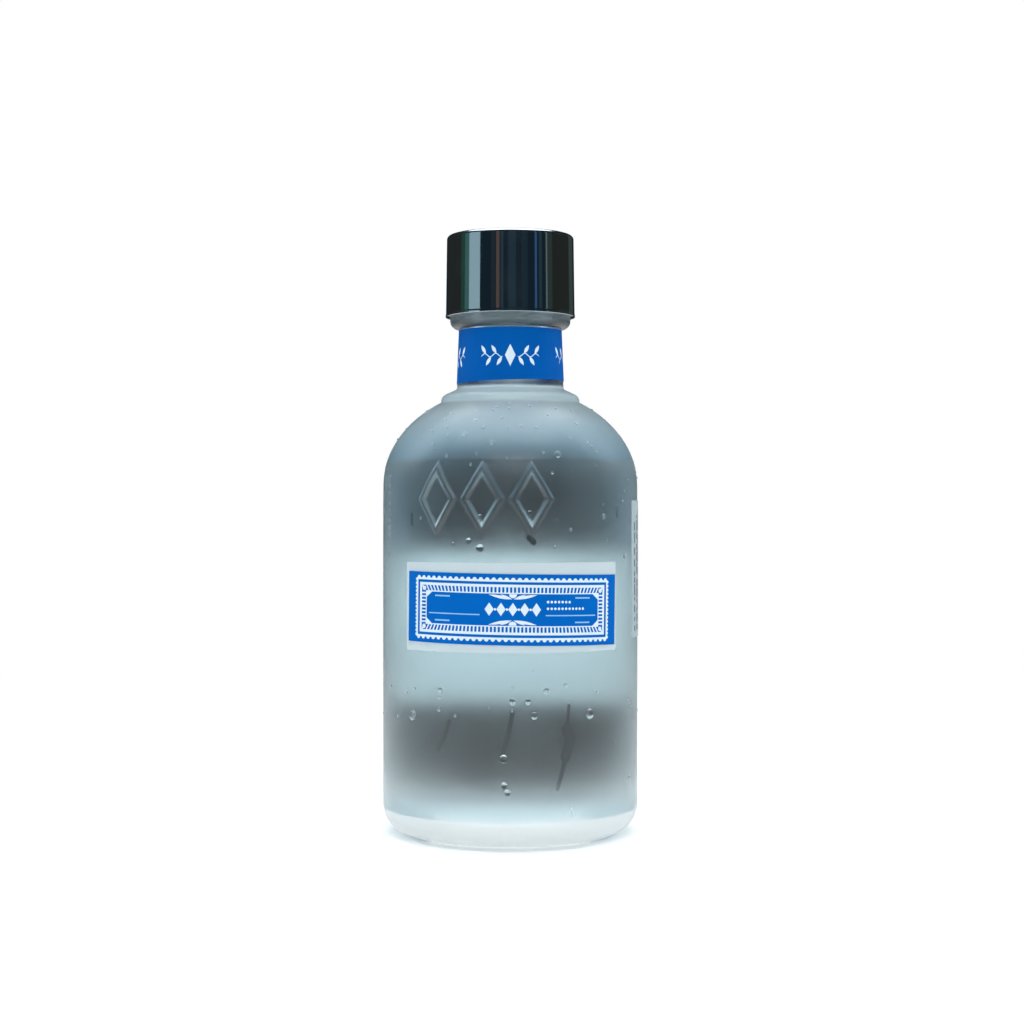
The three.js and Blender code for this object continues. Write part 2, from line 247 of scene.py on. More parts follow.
@dataclass(frozen=True)
class WettableFinish(Finish):
    """A frosted surface that turns clear where the mesh's wet attribute is 1."""

    wet_roughness: float = 0.04

    def gloss(self, tree: bpy.types.NodeTree, uneven: Socket) -> Socket:
        """Lowers the roughness where the surface is wet.

        Args:
            tree: The material's tree.
            uneven: The dry surface's roughness.

        Returns:
            The roughness to use.
        """
        wet = add_node(tree, "ShaderNodeAttribute", attribute_name="wet").outputs["Fac"]
        mixed = add_node(tree, "ShaderNodeMix", {0: wet, 2: uneven, 3: self.wet_roughness})
        return mixed.outputs[0]


@dataclass(frozen=True)
class ClearFinish(Finish):
    """A perfectly smooth, clear surface."""

    roughness: float = 0.0
    transmission: float = 1.0
    grain_depth: float = 0.0
    uneven: float = 0.0


@dataclass(frozen=True)
class PaleFloor(Finish):
    """A pale floor that keeps shadows near the object and turns white further out.

    Reflections and refractions see it white everywhere. The distances are in metres.
    """

    near: float = 0.22
    far: float = 0.6

    def surface(self, tree: bpy.types.NodeTree, shader: bpy.types.Node, place: Socket) -> Socket:
        """Returns the lit floor mixed with plain white.

        Args:
            tree: The material's tree.
            shader: Its principled shader.
            place: Object coordinates.

        Returns:
            The mixed shader's output.
        """
        distance = add_node(tree, "ShaderNodeVectorMath", {0: place}, operation="LENGTH").outputs["Value"]
        out = add_node(
            tree,
            "ShaderNodeMapRange",
            {"Value": distance, "From Min": self.near, "From Max": self.far},
            interpolation_type="SMOOTHSTEP",
        ).outputs[0]
        path = add_node(tree, "ShaderNodeLightPath")
        white = add_node(
            tree, "ShaderNodeMath", {0: out, 1: path.outputs["Is Camera Ray"]}, operation="MULTIPLY"
        ).outputs[0]
        for name in ("Is Glossy Ray", "Is Transmission Ray"):
            white = add_node(
                tree, "ShaderNodeMath", {0: white, 1: path.outputs[name]}, operation="MAXIMUM"
            ).outputs[0]
        glow = add_node(tree, "ShaderNodeEmission", {"Color": (1, 1, 1, 1), "Strength": 1.0})
        mixed = add_node(
            tree, "ShaderNodeMixShader", {0: white, 1: shader.outputs["BSDF"], 2: glow.outputs[0]}
        )
        return mixed.outputs[0]


# Acid-frosted flint glass, dulled by cold mist.
FROSTED_GLASS = WettableFinish(
    "acid_frosted_glass",
    "EEFAFF",
    0.38,
    ior=1.52,
    transmission=1.0,
    grain=0.0005,
    grain_depth=0.000004,
    patch=0.02,
)
# The foot and the heel, blasted more coarsely, so that they scatter light and look white.
BLASTED_FOOT = WettableFinish(
    "blasted_glass_foot", "FCFEFE", 0.5, ior=1.52, transmission=0.54, grain=0.0006, patch=0.02
)
# The smooth inner side of the flint glass.
SMOOTH_GLASS = ClearFinish("smooth_flint_glass", "F8FCFD", ior=1.52)
# The same glass where spirit wets it: 1.52 over the spirit's 1.36, so it hardly reflects.
WETTED_GLASS = ClearFinish("wetted_flint_glass", "FAFDFE", ior=1.118)
# The spirit's sides and floor. The wetted glass bends the light there, so they add no step of their own.
SPIRIT_SIDE = ClearFinish("spirit_on_glass", "FCFFFF", ior=1.0)
# Clear spirit, 40% alcohol in water.
SPIRIT = ClearFinish("clear_spirit", "FCFFFF", ior=1.36)
# Water drops of condensation.
WATER = ClearFinish("water_drop", "FFFFFF", ior=1.333)
# Blue label paper with a satin varnish.
BLUE_PAPER = Finish("blue_label_paper", "0064BE", 0.5, second="005AAC", specular_level=0.03, grain=0.00025)
# The same paper on the neck, its blue darkened as painted shade.
SHADED_BLUE_BAND = Finish("blue_band_paper_painted_shade", "0059AC", 0.5, second="004F9C", specular_level=0.03, grain=0.00025)
# White ink printed on the blue paper.
WHITE_INK = Finish("white_print_ink", "DCEBF6", 0.5, second="C9DDEC", grain=0.00025)
# Pale blue ink of the thin rules.
PALE_INK = Finish("pale_print_ink", "8CC0EC", 0.5, second="7DB4E4", grain=0.00025)
# Milky label film, a little see-through.
LABEL_FILM = Finish("milky_film", "D3E0E6", 0.45, alpha=0.72, grain=0.0006)
# Matte coated paper of the side label, white paper greyed as painted shade.
SHADED_SIDE_PAPER = Finish("coated_paper", "A8B6BD", 0.65, second="9FADB4", grain=0.0002)
# The back label's paper, seen through the filled bottle.
BACK_PAPER = Finish("bright_coated_paper", "FBF9F6", 0.65, second="F4F2EF", grain=0.0002)
# Grey ink of the side label's bars.
GREY_INK = Finish("grey_print_ink", "5F6E76", 0.6, second="56656D", grain=0.0002)
# Mirror-bright drawn metal.
BRIGHT_METAL = Finish(
    "mirror_drawn_metal", "C6CBCD", 0.06, metallic=1.0, uneven=0.02, grain=0.002, grain_depth=0.000001
)
# White moulded polypropylene of the cap's insert.
WHITE_PLASTIC = Finish("white_polypropylene", "E2E2DD", 0.42, second="D8D8D2", grain=0.0008)
# Foamed polyethylene of the sealing liner.
FOAM = Finish(
    "foamed_polyethylene", "ECEBE4", 0.75, second="E0DFD7", grain=0.0003, grain_depth=0.00003
)


@dataclass(frozen=True)
class Sizes:
    """Sizes shared by the bottle's pieces, in millimetres."""

    body_radius: float = 36.5
    heel_radius: float = 8.5
    foot_ring_width: float = 2.2
    punt_depth: float = 4.0
    shoulder_bottom: float = 99.2
    shoulder_rise: float = 28.4
    collar_radius: float = 19.9
    neck_bottom: float = 127.4
    neck_bottom_radius: float = 15.25
    neck_top_radius: float = 14.6
    bead_bottom: float = 144.1
    bead_radius: float = 17.3
    bead_height: float = 4.6
    finish_radius: float = 13.7
    lip_top: float = 168.0
    wall: float = 3.2
    floor: float = 6.6
    bore_radius: float = 9.5
    neck_wall: float = 4.0
    fill_level: float = 131.0

    def shoulder_radius(self, height: float) -> float:
        """Returns the outside radius of the body or the dome at a height."""
        share = min(1.0, max(0.0, (height - self.shoulder_bottom) / self.shoulder_rise))
        return self.body_radius * math.sqrt(1 - share * share)


SIZES = Sizes()


def arc(centre: Point, across: float, up: float, first: float, last: float, count: int) -> list[Point]:
    """Points along an ellipse between two angles.

    Args:
        centre: Radius and height of the ellipse's centre.
        across: Its half-width.
        up: Its half-height.
        first: First angle, in degrees.
        last: Last angle, in degrees.
        count: Number of steps.

    Returns:
        count + 1 points of radius and height.
    """
    angles = [math.radians(first + (last - first) * i / count) for i in range(count + 1)]
    return [(centre[0] + across * math.cos(a), centre[1] + up * math.sin(a)) for a in angles]


def straight(start: Point, end: Point, step: float) -> list[Point]:
    """Cuts a straight run into even steps.

    Args:
        start: Radius and height where it starts.
        end: Where it ends.
        step: The longest step.

    Returns:
        The points after start, up to end.
    """
    count = max(1, math.ceil(math.dist(start, end) / step))
    return [
        (start[0] + (end[0] - start[0]) * i / count, start[1] + (end[1] - start[1]) * i / count)
        for i in range(1, count + 1)
    ]


def rounded(corners: Sequence[tuple[float, float, float]], steps: int = 6) -> list[Point]:
    """Rounds the corners of an open profile.

    Args:
        corners: Radius, height and rounding radius of each corner.
        steps: Steps in each rounding.

    Returns:
        The profile's points.
    """
    points: list[Point] = []
    for i, (x, y, radius) in enumerate(corners):
        if radius <= 0 or i in (0, len(corners) - 1):
            points.append((x, y))
            continue
        here = Vector((x, y))
        before = (Vector(corners[i - 1][:2]) - here).normalized()
        after = (Vector(corners[i + 1][:2]) - here).normalized()
        half = before.angle(after) / 2
        reach = radius / math.tan(half)
        centre = here + (before + after).normalized() * radius / math.sin(half)
        first = math.atan2(*(here + before * reach - centre).yx)
        last = math.atan2(*(here + after * reach - centre).yx)
        sweep = (last - first + math.pi) % math.tau - math.pi
        points += arc(tuple(centre), radius, radius, math.degrees(first), math.degrees(first + sweep), steps)
    return points


def supported(profile: Sequence[Point], longest: float = 3.0, near: float = 0.12) -> list[Point]:
    """Cuts a profile's long runs, also close to their ends, so that smooth shading stays at the roundings.

    Args:
        profile: Radius and height of each point, in millimetres.
        longest: Longest run that stays whole.
        near: Distance from a run's ends to its first and last cut.

    Returns:
        The profile with the added points.
    """
    points = [profile[0]]
    for start, end in zip(profile, profile[1:]):
        length = math.dist(start, end)
        if length > longest:
            share = near / length
            first = (start[0] + (end[0] - start[0]) * share, start[1] + (end[1] - start[1]) * share)
            last = (end[0] + (start[0] - end[0]) * share, end[1] + (start[1] - end[1]) * share)
            points += [first, *straight(first, last, longest)]
        points.append(end)
    return points


def new_piece(
    name: str, mesh: bmesh.types.BMesh, finishes: Sequence[Finish], smooth: bool = True
) -> bpy.types.Object:
    """Turns a bmesh into an object with its materials.

    Args:
        name: The object's name.
        mesh: The bmesh, in metres. It is freed.
        finishes: One finish for each material index.
        smooth: Whether its faces are shaded smooth.

    Returns:
        The object, linked to the scene.
    """
    data = bpy.data.meshes.new(name)
    mesh.normal_update()
    mesh.to_mesh(data)
    mesh.free()
    for finish in finishes:
        data.materials.append(finish.build())
    if smooth:
        data.shade_smooth()
    piece = bpy.data.objects.new(name, data)
    bpy.context.scene.collection.objects.link(piece)
    return piece


def lathe(profile: Sequence[Point], segments: int, closed: bool = False) -> bmesh.types.BMesh:
    """Turns a profile about the Z axis.

    Args:
        profile: Radius and height of each point, in millimetres. An open profile ends on the axis.
        segments: Facets round the axis.
        closed: Whether the last point joins the first.

    Returns:
        A closed mesh in metres, facing out.
    """
    mesh = bmesh.new()
    verts = [mesh.verts.new((r * MM, 0.0, z * MM)) for r, z in profile]
    pairs = list(zip(verts, verts[1:]))
    if closed:
        pairs.append((verts[-1], verts[0]))
    edges = [mesh.edges.new(pair) for pair in pairs]
    bmesh.ops.spin(
        mesh,
        geom=verts + edges,
        cent=(0, 0, 0),
        axis=(0, 0, 1),
        angle=math.tau,
        steps=segments,
        use_merge=True,
    )
    bmesh.ops.remove_doubles(mesh, verts=mesh.verts[:], dist=1e-7)
    bmesh.ops.recalc_face_normals(mesh, faces=mesh.faces[:])
    return mesh


def sharpen(mesh: bmesh.types.BMesh, angle: float) -> None:
    """Marks sharp edges, so that smooth shading stops there.

    Args:
        mesh: The mesh.
        angle: The least angle between an edge's faces, in degrees.
    """
    mesh.normal_update()
    for edge in mesh.edges:
        if len(edge.link_faces) == 2 and edge.calc_face_angle(0.0) > math.radians(angle):
            edge.smooth = False


class Wrap:
    """Flat artwork, in millimetres, wrapped on an upright cylinder or cone.

    X runs to the right round the surface and Y runs up. The origin of the artwork sits at
    an angle from the front, positive to the right, and at a height.
    """

    def __init__(
        self, radius: Callable[[float], float], around: float, height: float, lean: float = 0.0
    ) -> None:
        """Starts an empty sheet.

        Args:
            radius: Radius in millimetres at a height in millimetres.
            around: Angle of the artwork's origin, in degrees.
            height: Height of its origin, in millimetres.
            lean: Turn of the artwork in its own plane, in degrees.
        """
        self.radius = radius
        self.around = math.radians(around)
        self.height = height
        self.turn = Matrix.Rotation(math.radians(lean), 2)
        self.mesh = bmesh.new()

    def point(self, x: float, y: float, lift: float) -> Vector:
        """Wraps one point of the artwork.

        Args:
            x: Its place across.
            y: Its place up.
            lift: Its distance off the surface.

        Returns:
            The place in metres.
        """
        flat = self.turn @ Vector((x, y))
        height = self.height + flat.y
        angle = self.around + flat.x / self.radius(self.height)
        radius = self.radius(height) + lift
        return Vector((radius * math.sin(angle), -radius * math.cos(angle), height)) * MM

    def face(self, points: Iterable[Point], ink: Ink = Ink.MAIN) -> None:
        """Adds one flat polygon, given anticlockwise, in an ink."""
        face = self.mesh.faces.new([self.mesh.verts.new((x, y, 0.0)) for x, y in points])
        face.material_index = ink

    def bar(self, left: float, right: float, low: float, high: float, ink: Ink = Ink.MAIN) -> None:
        """Adds an upright rectangle."""
        self.face([(left, low), (right, low), (right, high), (left, high)], ink)

    def frame(self, half_width: float, half_height: float, thick: float) -> None:
        """Adds a rectangular outline.

        Args:
            half_width: Half its width outside.
            half_height: Half its height outside.
            thick: The width of its line.
        """
        for side in (-1, 1):
            low, high = sorted((side * half_height, side * (half_height - thick)))
            self.bar(-half_width, half_width, low, high)
            left, right = sorted((side * half_width, side * (half_width - thick)))
            self.bar(left, right, thick - half_height, half_height - thick)

    def plate(self, width: float, height: float) -> None:
        """Adds a closed sheet whose back lies on the surface.

        Args:
            width: Its width.
            height: Its height.
        """
        made = bmesh.ops.create_cube(self.mesh, size=1.0)
        bmesh.ops.scale(self.mesh, vec=(width, height, SHEET), verts=made["verts"])
        bmesh.ops.translate(self.mesh, vec=(0, 0, SHEET / 2), verts=made["verts"])

    def finish(self, name: str, finishes: Sequence[Finish], step: float = 0.8) -> bpy.types.Object:
        """Cuts the flat work into strips and wraps it.

        Args:
            name: The object's name.
            finishes: One finish for each ink.
            step: The strips' width.

        Returns:
            The object.
        """
        mesh = self.mesh
        reach = math.ceil(max(abs(vert.co.x) for vert in mesh.verts) / step)
        for i in range(-reach, reach + 1):
            geometry = mesh.verts[:] + mesh.edges[:] + mesh.faces[:]
            bmesh.ops.bisect_plane(
                mesh, geom=geometry, dist=1e-6, plane_co=(i * step, 0, 0), plane_no=(1, 0, 0)
            )
        for vert in mesh.verts:
            vert.co = self.point(*vert.co)
        sharpen(mesh, 50)
        return new_piece(name, mesh, finishes)


def dress(piece: bpy.types.Object, body: Body, slot: Slot, *nodes: str) -> bpy.types.Object:
    """Puts a piece on its body.

    Args:
        piece: The piece.
        body: The body it rides on.
        slot: The record's material slot; not used.
        nodes: CAD nodes that it stands for.

    Returns:
        The piece.
    """
    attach(piece, body.value)
    if nodes:
        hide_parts(*nodes)
    return piece


@dataclass(frozen=True)
class Drop:
    """A drop of condensation: its angle from the front in degrees, height and radius in millimetres."""

    around: float
    height: float
    radius: float


@dataclass(frozen=True)
class Streak:
    """A clear run left by water: points of angle and height, and its width in millimetres."""

    path: tuple[Point, ...]
    width: float


@dataclass(frozen=True)
class LozengeRelief:
    """A raised lozenge frame on the shoulder, in millimetres, at an angle in degrees."""

    around: float
    height: float = 95.1
    half_width: float = 5.1
    half_height: float = 8.4
    stroke: float = 1.25
    relief: float = 0.72
    bluntness: float = 0.7

    def lift(self, around: float, height: float) -> float:
        """Works out how far the surface stands proud at a place.

        Args:
            around: The place's angle from the front, in degrees.
            height: Its height in millimetres.

        Returns:
            The rise in millimetres.
        """
        across = abs(math.radians(around - self.around)) * SIZES.body_radius
        up = abs(height - self.height)
        if across > self.half_width + 2 * self.stroke or up > self.half_height + 2 * self.stroke:
            return 0.0
        slant = self.half_width * self.half_height / math.hypot(self.half_width, self.half_height)
        off = abs((across / self.half_width + up / self.half_height - 1) * slant)
        share = min(1.0, off / self.stroke)
        return self.relief * (0.5 + 0.5 * math.cos(math.pi * share)) ** self.bluntness


@dataclass(frozen=True)
class BeadRelief:
    """A small raised bead on the glass, in millimetres, at an angle in degrees."""

    around: float
    height: float
    radius: float = 1.0
    relief: float = 0.5

    @property
    def half_width(self) -> float:
        """Returns its reach to the side."""
        return self.radius

    @property
    def half_height(self) -> float:
        """Returns its reach up and down."""
        return self.radius

    def lift(self, around: float, height: float) -> float:
        """Works out how far the surface stands proud at a place.

        Args:
            around: The place's angle from the front, in degrees.
            height: Its height in millimetres.

        Returns:
            The rise in millimetres.
        """
        across = math.radians(around - self.around) * SIZES.body_radius
        off = math.hypot(across, height - self.height) / self.radius
        return self.relief * (0.5 + 0.5 * math.cos(math.pi * off)) if off < 1 else 0.0


@dataclass(frozen=True)
class Thread:
    """The neck's screw thread, in millimetres: its section is a row of places out from the finish and up."""

    pitch: float = 4.23
    turns: float = 2.25
    below_lip: float = 2.4
    section: tuple[Point, ...] = ((-0.4, -1.25), (1.2, -0.5), (1.2, 0.5), (-0.4, 1.25))
    per_turn: int = 48
    run_out: int = 8


@dataclass
class FrostedBottle:
    """The blown glass bottle, with its raised ornament, knurled foot and clear wet streaks.

    Two heights in one field are the lowest and the highest that it holds for.
    """

    sizes: Sizes
    ornament: Sequence[LozengeRelief | BeadRelief]
    streaks: Sequence[Streak]
    drops: Sequence[Drop]
    thread: Thread = Thread()
    segments: int = 270
    knurls: int = 90
    knurl_depth: float = 0.22
    knurl_heights: Point = (0.05, 2.25)
    knurl_inner_radius: float = 28.2
    easing: float = 5.0
    easing_rounds: int = 12
    finer_cuts: int = 2
    finer_heights: Point = (6.0, 122.0)
    relief_heights: Point = (79.0, 108.0)
    foot_top: float = 7.6
    inner_floor_top: float = 40.0

    def outside(self) -> list[Point]:
        """Draws the outside profile, from the punt up to the lip.

        Returns:
            Radius and height of each point.
        """
        s = self.sizes
        foot = s.body_radius - s.heel_radius
        punt = foot - s.foot_ring_width
        collar_angle = math.degrees(math.acos(s.collar_radius / s.body_radius))
        collar_bottom = s.shoulder_bottom + s.shoulder_rise * math.sin(math.radians(collar_angle))
        finish_bottom = s.bead_bottom + s.bead_height
        points = arc((0, 1.5), punt, s.punt_depth - 1.5, 90, 0, 9)
        points += [(punt + 0.35, 0.5), (punt + 0.75, 0.1), (punt + 1.1, 0.0)]
        points += arc((foot, s.heel_radius), s.heel_radius, s.heel_radius, -90, 0, 18)
        # The rows are closer where the drops, the streaks and the ornament lie.
        for height, step in ((14.0, 2.8), (46.0, 1.5), (80.0, 2.9), (s.shoulder_bottom, 1.1)):
            points += straight(points[-1], (s.body_radius, height), step)
        points += arc((0, s.shoulder_bottom), s.body_radius, s.shoulder_rise, 0, 14, 9)[1:]
        points += arc((0, s.shoulder_bottom), s.body_radius, s.shoulder_rise, 14, collar_angle, 18)[1:]
        points += rounded(
            [
                (s.collar_radius, collar_bottom, 0),
                (s.collar_radius, collar_bottom + 1.7, 2.2),
                (s.neck_bottom_radius + 0.1, s.neck_bottom - 0.6, 0.9),
                (s.neck_bottom_radius, s.neck_bottom + 1.0, 0),
            ]
        )[1:]
        neck = (s.neck_bottom_radius, s.neck_bottom + 1), (s.neck_top_radius, s.bead_bottom - 0.3)
        points += straight(*neck, 6)
        points += rounded(
            [
                (s.neck_top_radius, s.bead_bottom - 0.3, 0),
                (s.neck_top_radius, s.bead_bottom, 0.3),
                (s.bead_radius, s.bead_bottom, 2.3),
                (s.bead_radius, finish_bottom, 0.8),
                (s.finish_radius, finish_bottom, 0.4),
                (s.finish_radius, s.lip_top, 0.8),
                (s.bore_radius, s.lip_top, 0.8),
                (s.bore_radius, s.lip_top - 2, 0),
            ],
            steps=4,
        )[1:]
        return points

    def inside(self, gap: float = 0.0) -> list[Point]:
        """Draws the inside profile, from the bore down to the floor.

        Args:
            gap: How far it is set in.

        Returns:
            Radius and height of each point.
        """
        s = self.sizes
        body = s.body_radius - s.wall - gap
        rise = s.shoulder_rise - s.wall - gap
        neck = s.neck_bottom_radius - s.neck_wall - gap
        heel = 7.0 - gap
        floor = s.floor + gap
        top = math.degrees(math.acos((neck + s.wall) / body))
        points = [(s.bore_radius - gap, s.bead_bottom), (neck, s.neck_bottom)]
        points += arc((0, s.shoulder_bottom), body, rise, top, 0, 18)
        near_dome = (body, s.shoulder_bottom - 8.0)
        points += straight((body, s.shoulder_bottom), near_dome, 0.8)
        points += straight(near_dome, (body, floor + heel), 8.0)
        points += arc((body - heel, floor + heel), heel, heel, 0, -90, 9)[1:]
        points += arc((0, floor), body - heel, 3.0, 0, 90, 9)[2:]
        return points

    def place(self, vert: bmesh.types.BMVert) -> tuple[float, float, float]:
        """Returns a vertex's angle from the front in degrees, radius and height in millimetres."""
        radius = math.hypot(vert.co.x, vert.co.y) / MM
        return math.degrees(math.atan2(vert.co.x, -vert.co.y)), radius, vert.co.z / MM

    def ease_shoulder(self, mesh: bmesh.types.BMesh) -> None:
        """Lets the curve start gently where the straight wall runs into the dome.

        Args:
            mesh: The bottle's mesh.
        """
        start = self.sizes.shoulder_bottom
        verts = [vert for vert in mesh.verts if abs(vert.co.z / MM - start) < self.easing]
        for _ in range(self.easing_rounds):
            bmesh.ops.smooth_vert(
                mesh, verts=verts, factor=0.5, use_axis_x=True, use_axis_y=True, use_axis_z=False
            )

    def fine_cells(self) -> set[tuple[int, int]]:
        """Finds the places that need a finer mesh: those with relief, a drop or a streak.

        Returns:
            Cells of one degree by one millimetre, each by its lowest angle and height.
        """
        past_relief, past_drop, past_drop_up, past_streak, streak_reach = 1.5, 0.7, 0.9, 0.4, 0.6
        boxes = [
            (raised.around, raised.height, raised.half_width + past_relief, raised.half_height + past_relief)
            for raised in self.ornament
        ]
        boxes += [
            (drop.around, drop.height, drop.radius + past_drop, drop.radius + past_drop_up)
            for drop in self.drops
        ]
        for streak in self.streaks:
            for (a0, h0), (a1, h1) in zip(streak.path, streak.path[1:]):
                count = max(2, math.ceil(abs(h1 - h0)))
                half_width = streak.width / 2 + past_streak
                for share in (i / count for i in range(count + 1)):
                    boxes.append((a0 + (a1 - a0) * share, h0 + (h1 - h0) * share, half_width, streak_reach))
        cells = set()
        for around, height, half_width, half_height in boxes:
            half_angle = math.degrees(half_width / self.sizes.shoulder_radius(height))
            for angle in range(math.floor(around - half_angle), math.floor(around + half_angle) + 1):
                for level in range(math.floor(height - half_height), math.floor(height + half_height) + 1):
                    cells.add((angle, level))
        return cells

    def refine(self, mesh: bmesh.types.BMesh) -> None:
        """Cuts the outer faces finer in those cells, and keeps them round.

        Args:
            mesh: The bottle's mesh.
        """
        cells = self.fine_cells()
        lowest, highest = self.finer_heights
        edges = set()
        for face in mesh.faces:
            centre = face.calc_center_median()
            radius, height = math.hypot(centre.x, centre.y) / MM, centre.z / MM
            if lowest < height < highest and self.on_outer_wall(radius, height):
                around = math.degrees(math.atan2(centre.x, -centre.y))
                if (math.floor(around), math.floor(height)) in cells:
                    edges.update(face.edges)
        bmesh.ops.subdivide_edges(mesh, edges=list(edges), cuts=self.finer_cuts, use_grid_fill=True)
        half = math.pi / self.segments
        for vert in mesh.verts:
            off_middle = math.atan2(vert.co.y, vert.co.x) % (2 * half) - half
            stretch = math.cos(off_middle) / math.cos(half)
            vert.co.x *= stretch
            vert.co.y *= stretch

    def on_outer_wall(self, radius: float, height: float) -> bool:
        """Returns whether a place lies on the outside of the body or the dome, not the inside."""
        return radius > self.sizes.shoulder_radius(height) - 1

    def raise_ornament(self, mesh: bmesh.types.BMesh) -> None:
        """Moves the outer vertices out over the raised ornament and in between the foot's ribs.

        Args:
            mesh: The bottle's mesh.
        """
        rib_bottom, rib_top = self.knurl_heights
        lowest, highest = self.relief_heights
        for vert in mesh.verts:
            around, radius, height = self.place(vert)
            if height < rib_top and radius > self.knurl_inner_radius:
                ridge = max(0.0, math.sin(math.radians(around) * self.knurls))
                share = max(0.0, (height - rib_bottom) / (rib_top - rib_bottom))
                vert.co -= vert.normal * self.knurl_depth * MM * math.sin(math.pi * share) * (1 - ridge)
            elif lowest < height < highest and self.on_outer_wall(radius, height):
                lift = max(relief.lift(around, height) for relief in self.ornament)
                vert.co += vert.normal * lift * MM

    def faces_inward(self, face: bmesh.types.BMFace) -> bool:
        """Tells the smooth inside of the bottle from its frosted outside.

        Args:
            face: A face of the bottle.

        Returns:
            Whether the face lies inside.
        """
        centre = face.calc_center_median()
        radius, height = math.hypot(centre.x, centre.y), centre.z / MM
        if height < self.sizes.punt_depth + 0.5:
            return False
        outward = (face.normal.x * centre.x + face.normal.y * centre.y) / max(radius, 1e-6)
        inside_wall = radius / MM < self.sizes.body_radius - 1
        on_floor = face.normal.z > 0.5 and inside_wall and height < self.inner_floor_top
        return outward < -0.15 or on_floor

    def wet(self, piece: bpy.types.Object) -> None:
        """Stores how wet the outside is at each vertex.

        Args:
            piece: The bottle.
        """
        layer = piece.data.attributes.new("wet", "FLOAT", "POINT")
        near: dict[tuple[int, int], list[Drop]] = {}
        around_drop = range(-3, 4)
        for drop in self.drops:
            for across in around_drop:
                for up in around_drop:
                    cell = (math.floor(drop.around) + across, math.floor(drop.height) + up)
                    near.setdefault(cell, []).append(drop)
        for index, vert in enumerate(piece.data.vertices):
            around = math.degrees(math.atan2(vert.co.x, -vert.co.y))
            height = vert.co.z / MM
            wet = max(self.wetness(streak, around, height) for streak in self.streaks)
            for drop in near.get((math.floor(around), math.floor(height)), ()):
                wet = max(wet, self.wetness_under(drop, around, height))
            layer.data[index].value = wet

    def wetness_under(self, drop: Drop, around: float, height: float) -> float:
        """Works out how wet a place is from a drop.

        Args:
            drop: The drop.
            around: The place's angle from the front, in degrees.
            height: Its height in millimetres.

        Returns:
            1 under the drop, 0 clear of it and a short step between.
        """
        past_edge, step, least_slope = 0.15, 0.2, 0.45
        radius = self.sizes.shoulder_radius(height)
        slope = max(least_slope, radius / self.sizes.body_radius)
        across = math.radians(around - drop.around) * radius
        off = math.hypot(across, (height - drop.height) / slope)
        return min(1.0, max(0.0, (drop.radius + past_edge - off) / step))

    def wetness(self, streak: Streak, around: float, height: float) -> float:
        """Works out how wet a place is from a streak.

        Args:
            streak: The streak.
            around: The place's angle from the front, in degrees.
            height: Its height in millimetres.

        Returns:
            1 inside the streak, 0 clear of it and a soft step between.
        """
        soft_edge = 1.5
        scale = math.radians(self.sizes.body_radius)
        here = Vector((around * scale, height))
        nearest = math.inf
        for (a0, h0), (a1, h1) in zip(streak.path, streak.path[1:]):
            start, end = Vector((a0 * scale, h0)), Vector((a1 * scale, h1))
            run = end - start
            share = min(1.0, max(0.0, (here - start).dot(run) / run.length_squared))
            nearest = min(nearest, (start + run * share - here).length)
        return min(1.0, max(0.0, soft_edge - nearest / (streak.width / 2)))

    def build(self) -> bpy.types.Object:
        """Makes the glass, which stands for the CAD's bottle.

        Returns:
            The piece.
        """
        mesh = lathe(supported(self.outside()) + self.inside(), self.segments)
        self.ease_shoulder(mesh)
        self.refine(mesh)
        mesh.normal_update()
        self.raise_ornament(mesh)
        self.add_thread(mesh)
        for face in mesh.faces:
            height = face.calc_center_median().z / MM
            if self.faces_inward(face):
                face.material_index = Glass.WETTED if height < self.sizes.fill_level else Glass.SMOOTH
            elif height < self.foot_top:
                face.material_index = Glass.FOOT
        piece = new_piece("frosted_bottle", mesh, [FROSTED_GLASS, SMOOTH_GLASS, WETTED_GLASS, BLASTED_FOOT])
        self.wet(piece)
        return dress(piece, Body.BOTTLE, Slot.GLASS, "glass_bottle")

    def add_thread(self, mesh: bmesh.types.BMesh) -> None:
        """Adds the screw thread, rooted in the neck's finish and running out at both ends.

        Args:
            mesh: The bottle's mesh.
        """
        thread = self.thread
        bottom = self.sizes.lip_top - thread.below_lip - thread.turns * thread.pitch
        steps = round(thread.turns * thread.per_turn)
        rings = []
        for i in range(steps + 1):
            turn = i / thread.per_turn
            fade = min(1.0, i / thread.run_out, (steps - i) / thread.run_out)
            ring = []
            for out, up in thread.section:
                radius = (self.sizes.finish_radius + (out * fade if out > 0 else out)) * MM
                angle = turn * math.tau
                height = (bottom + turn * thread.pitch + up) * MM
                ring.append(mesh.verts.new((radius * math.cos(angle), radius * math.sin(angle), height)))
            rings.append(ring)
        for one, two in zip(rings, rings[1:]):
            for i, start in enumerate(one):
                j = (i + 1) % len(one)
                mesh.faces.new((start, two[i], two[j], one[j]))
        mesh.faces.new(rings[0])
        mesh.faces.new(list(reversed(rings[-1])))


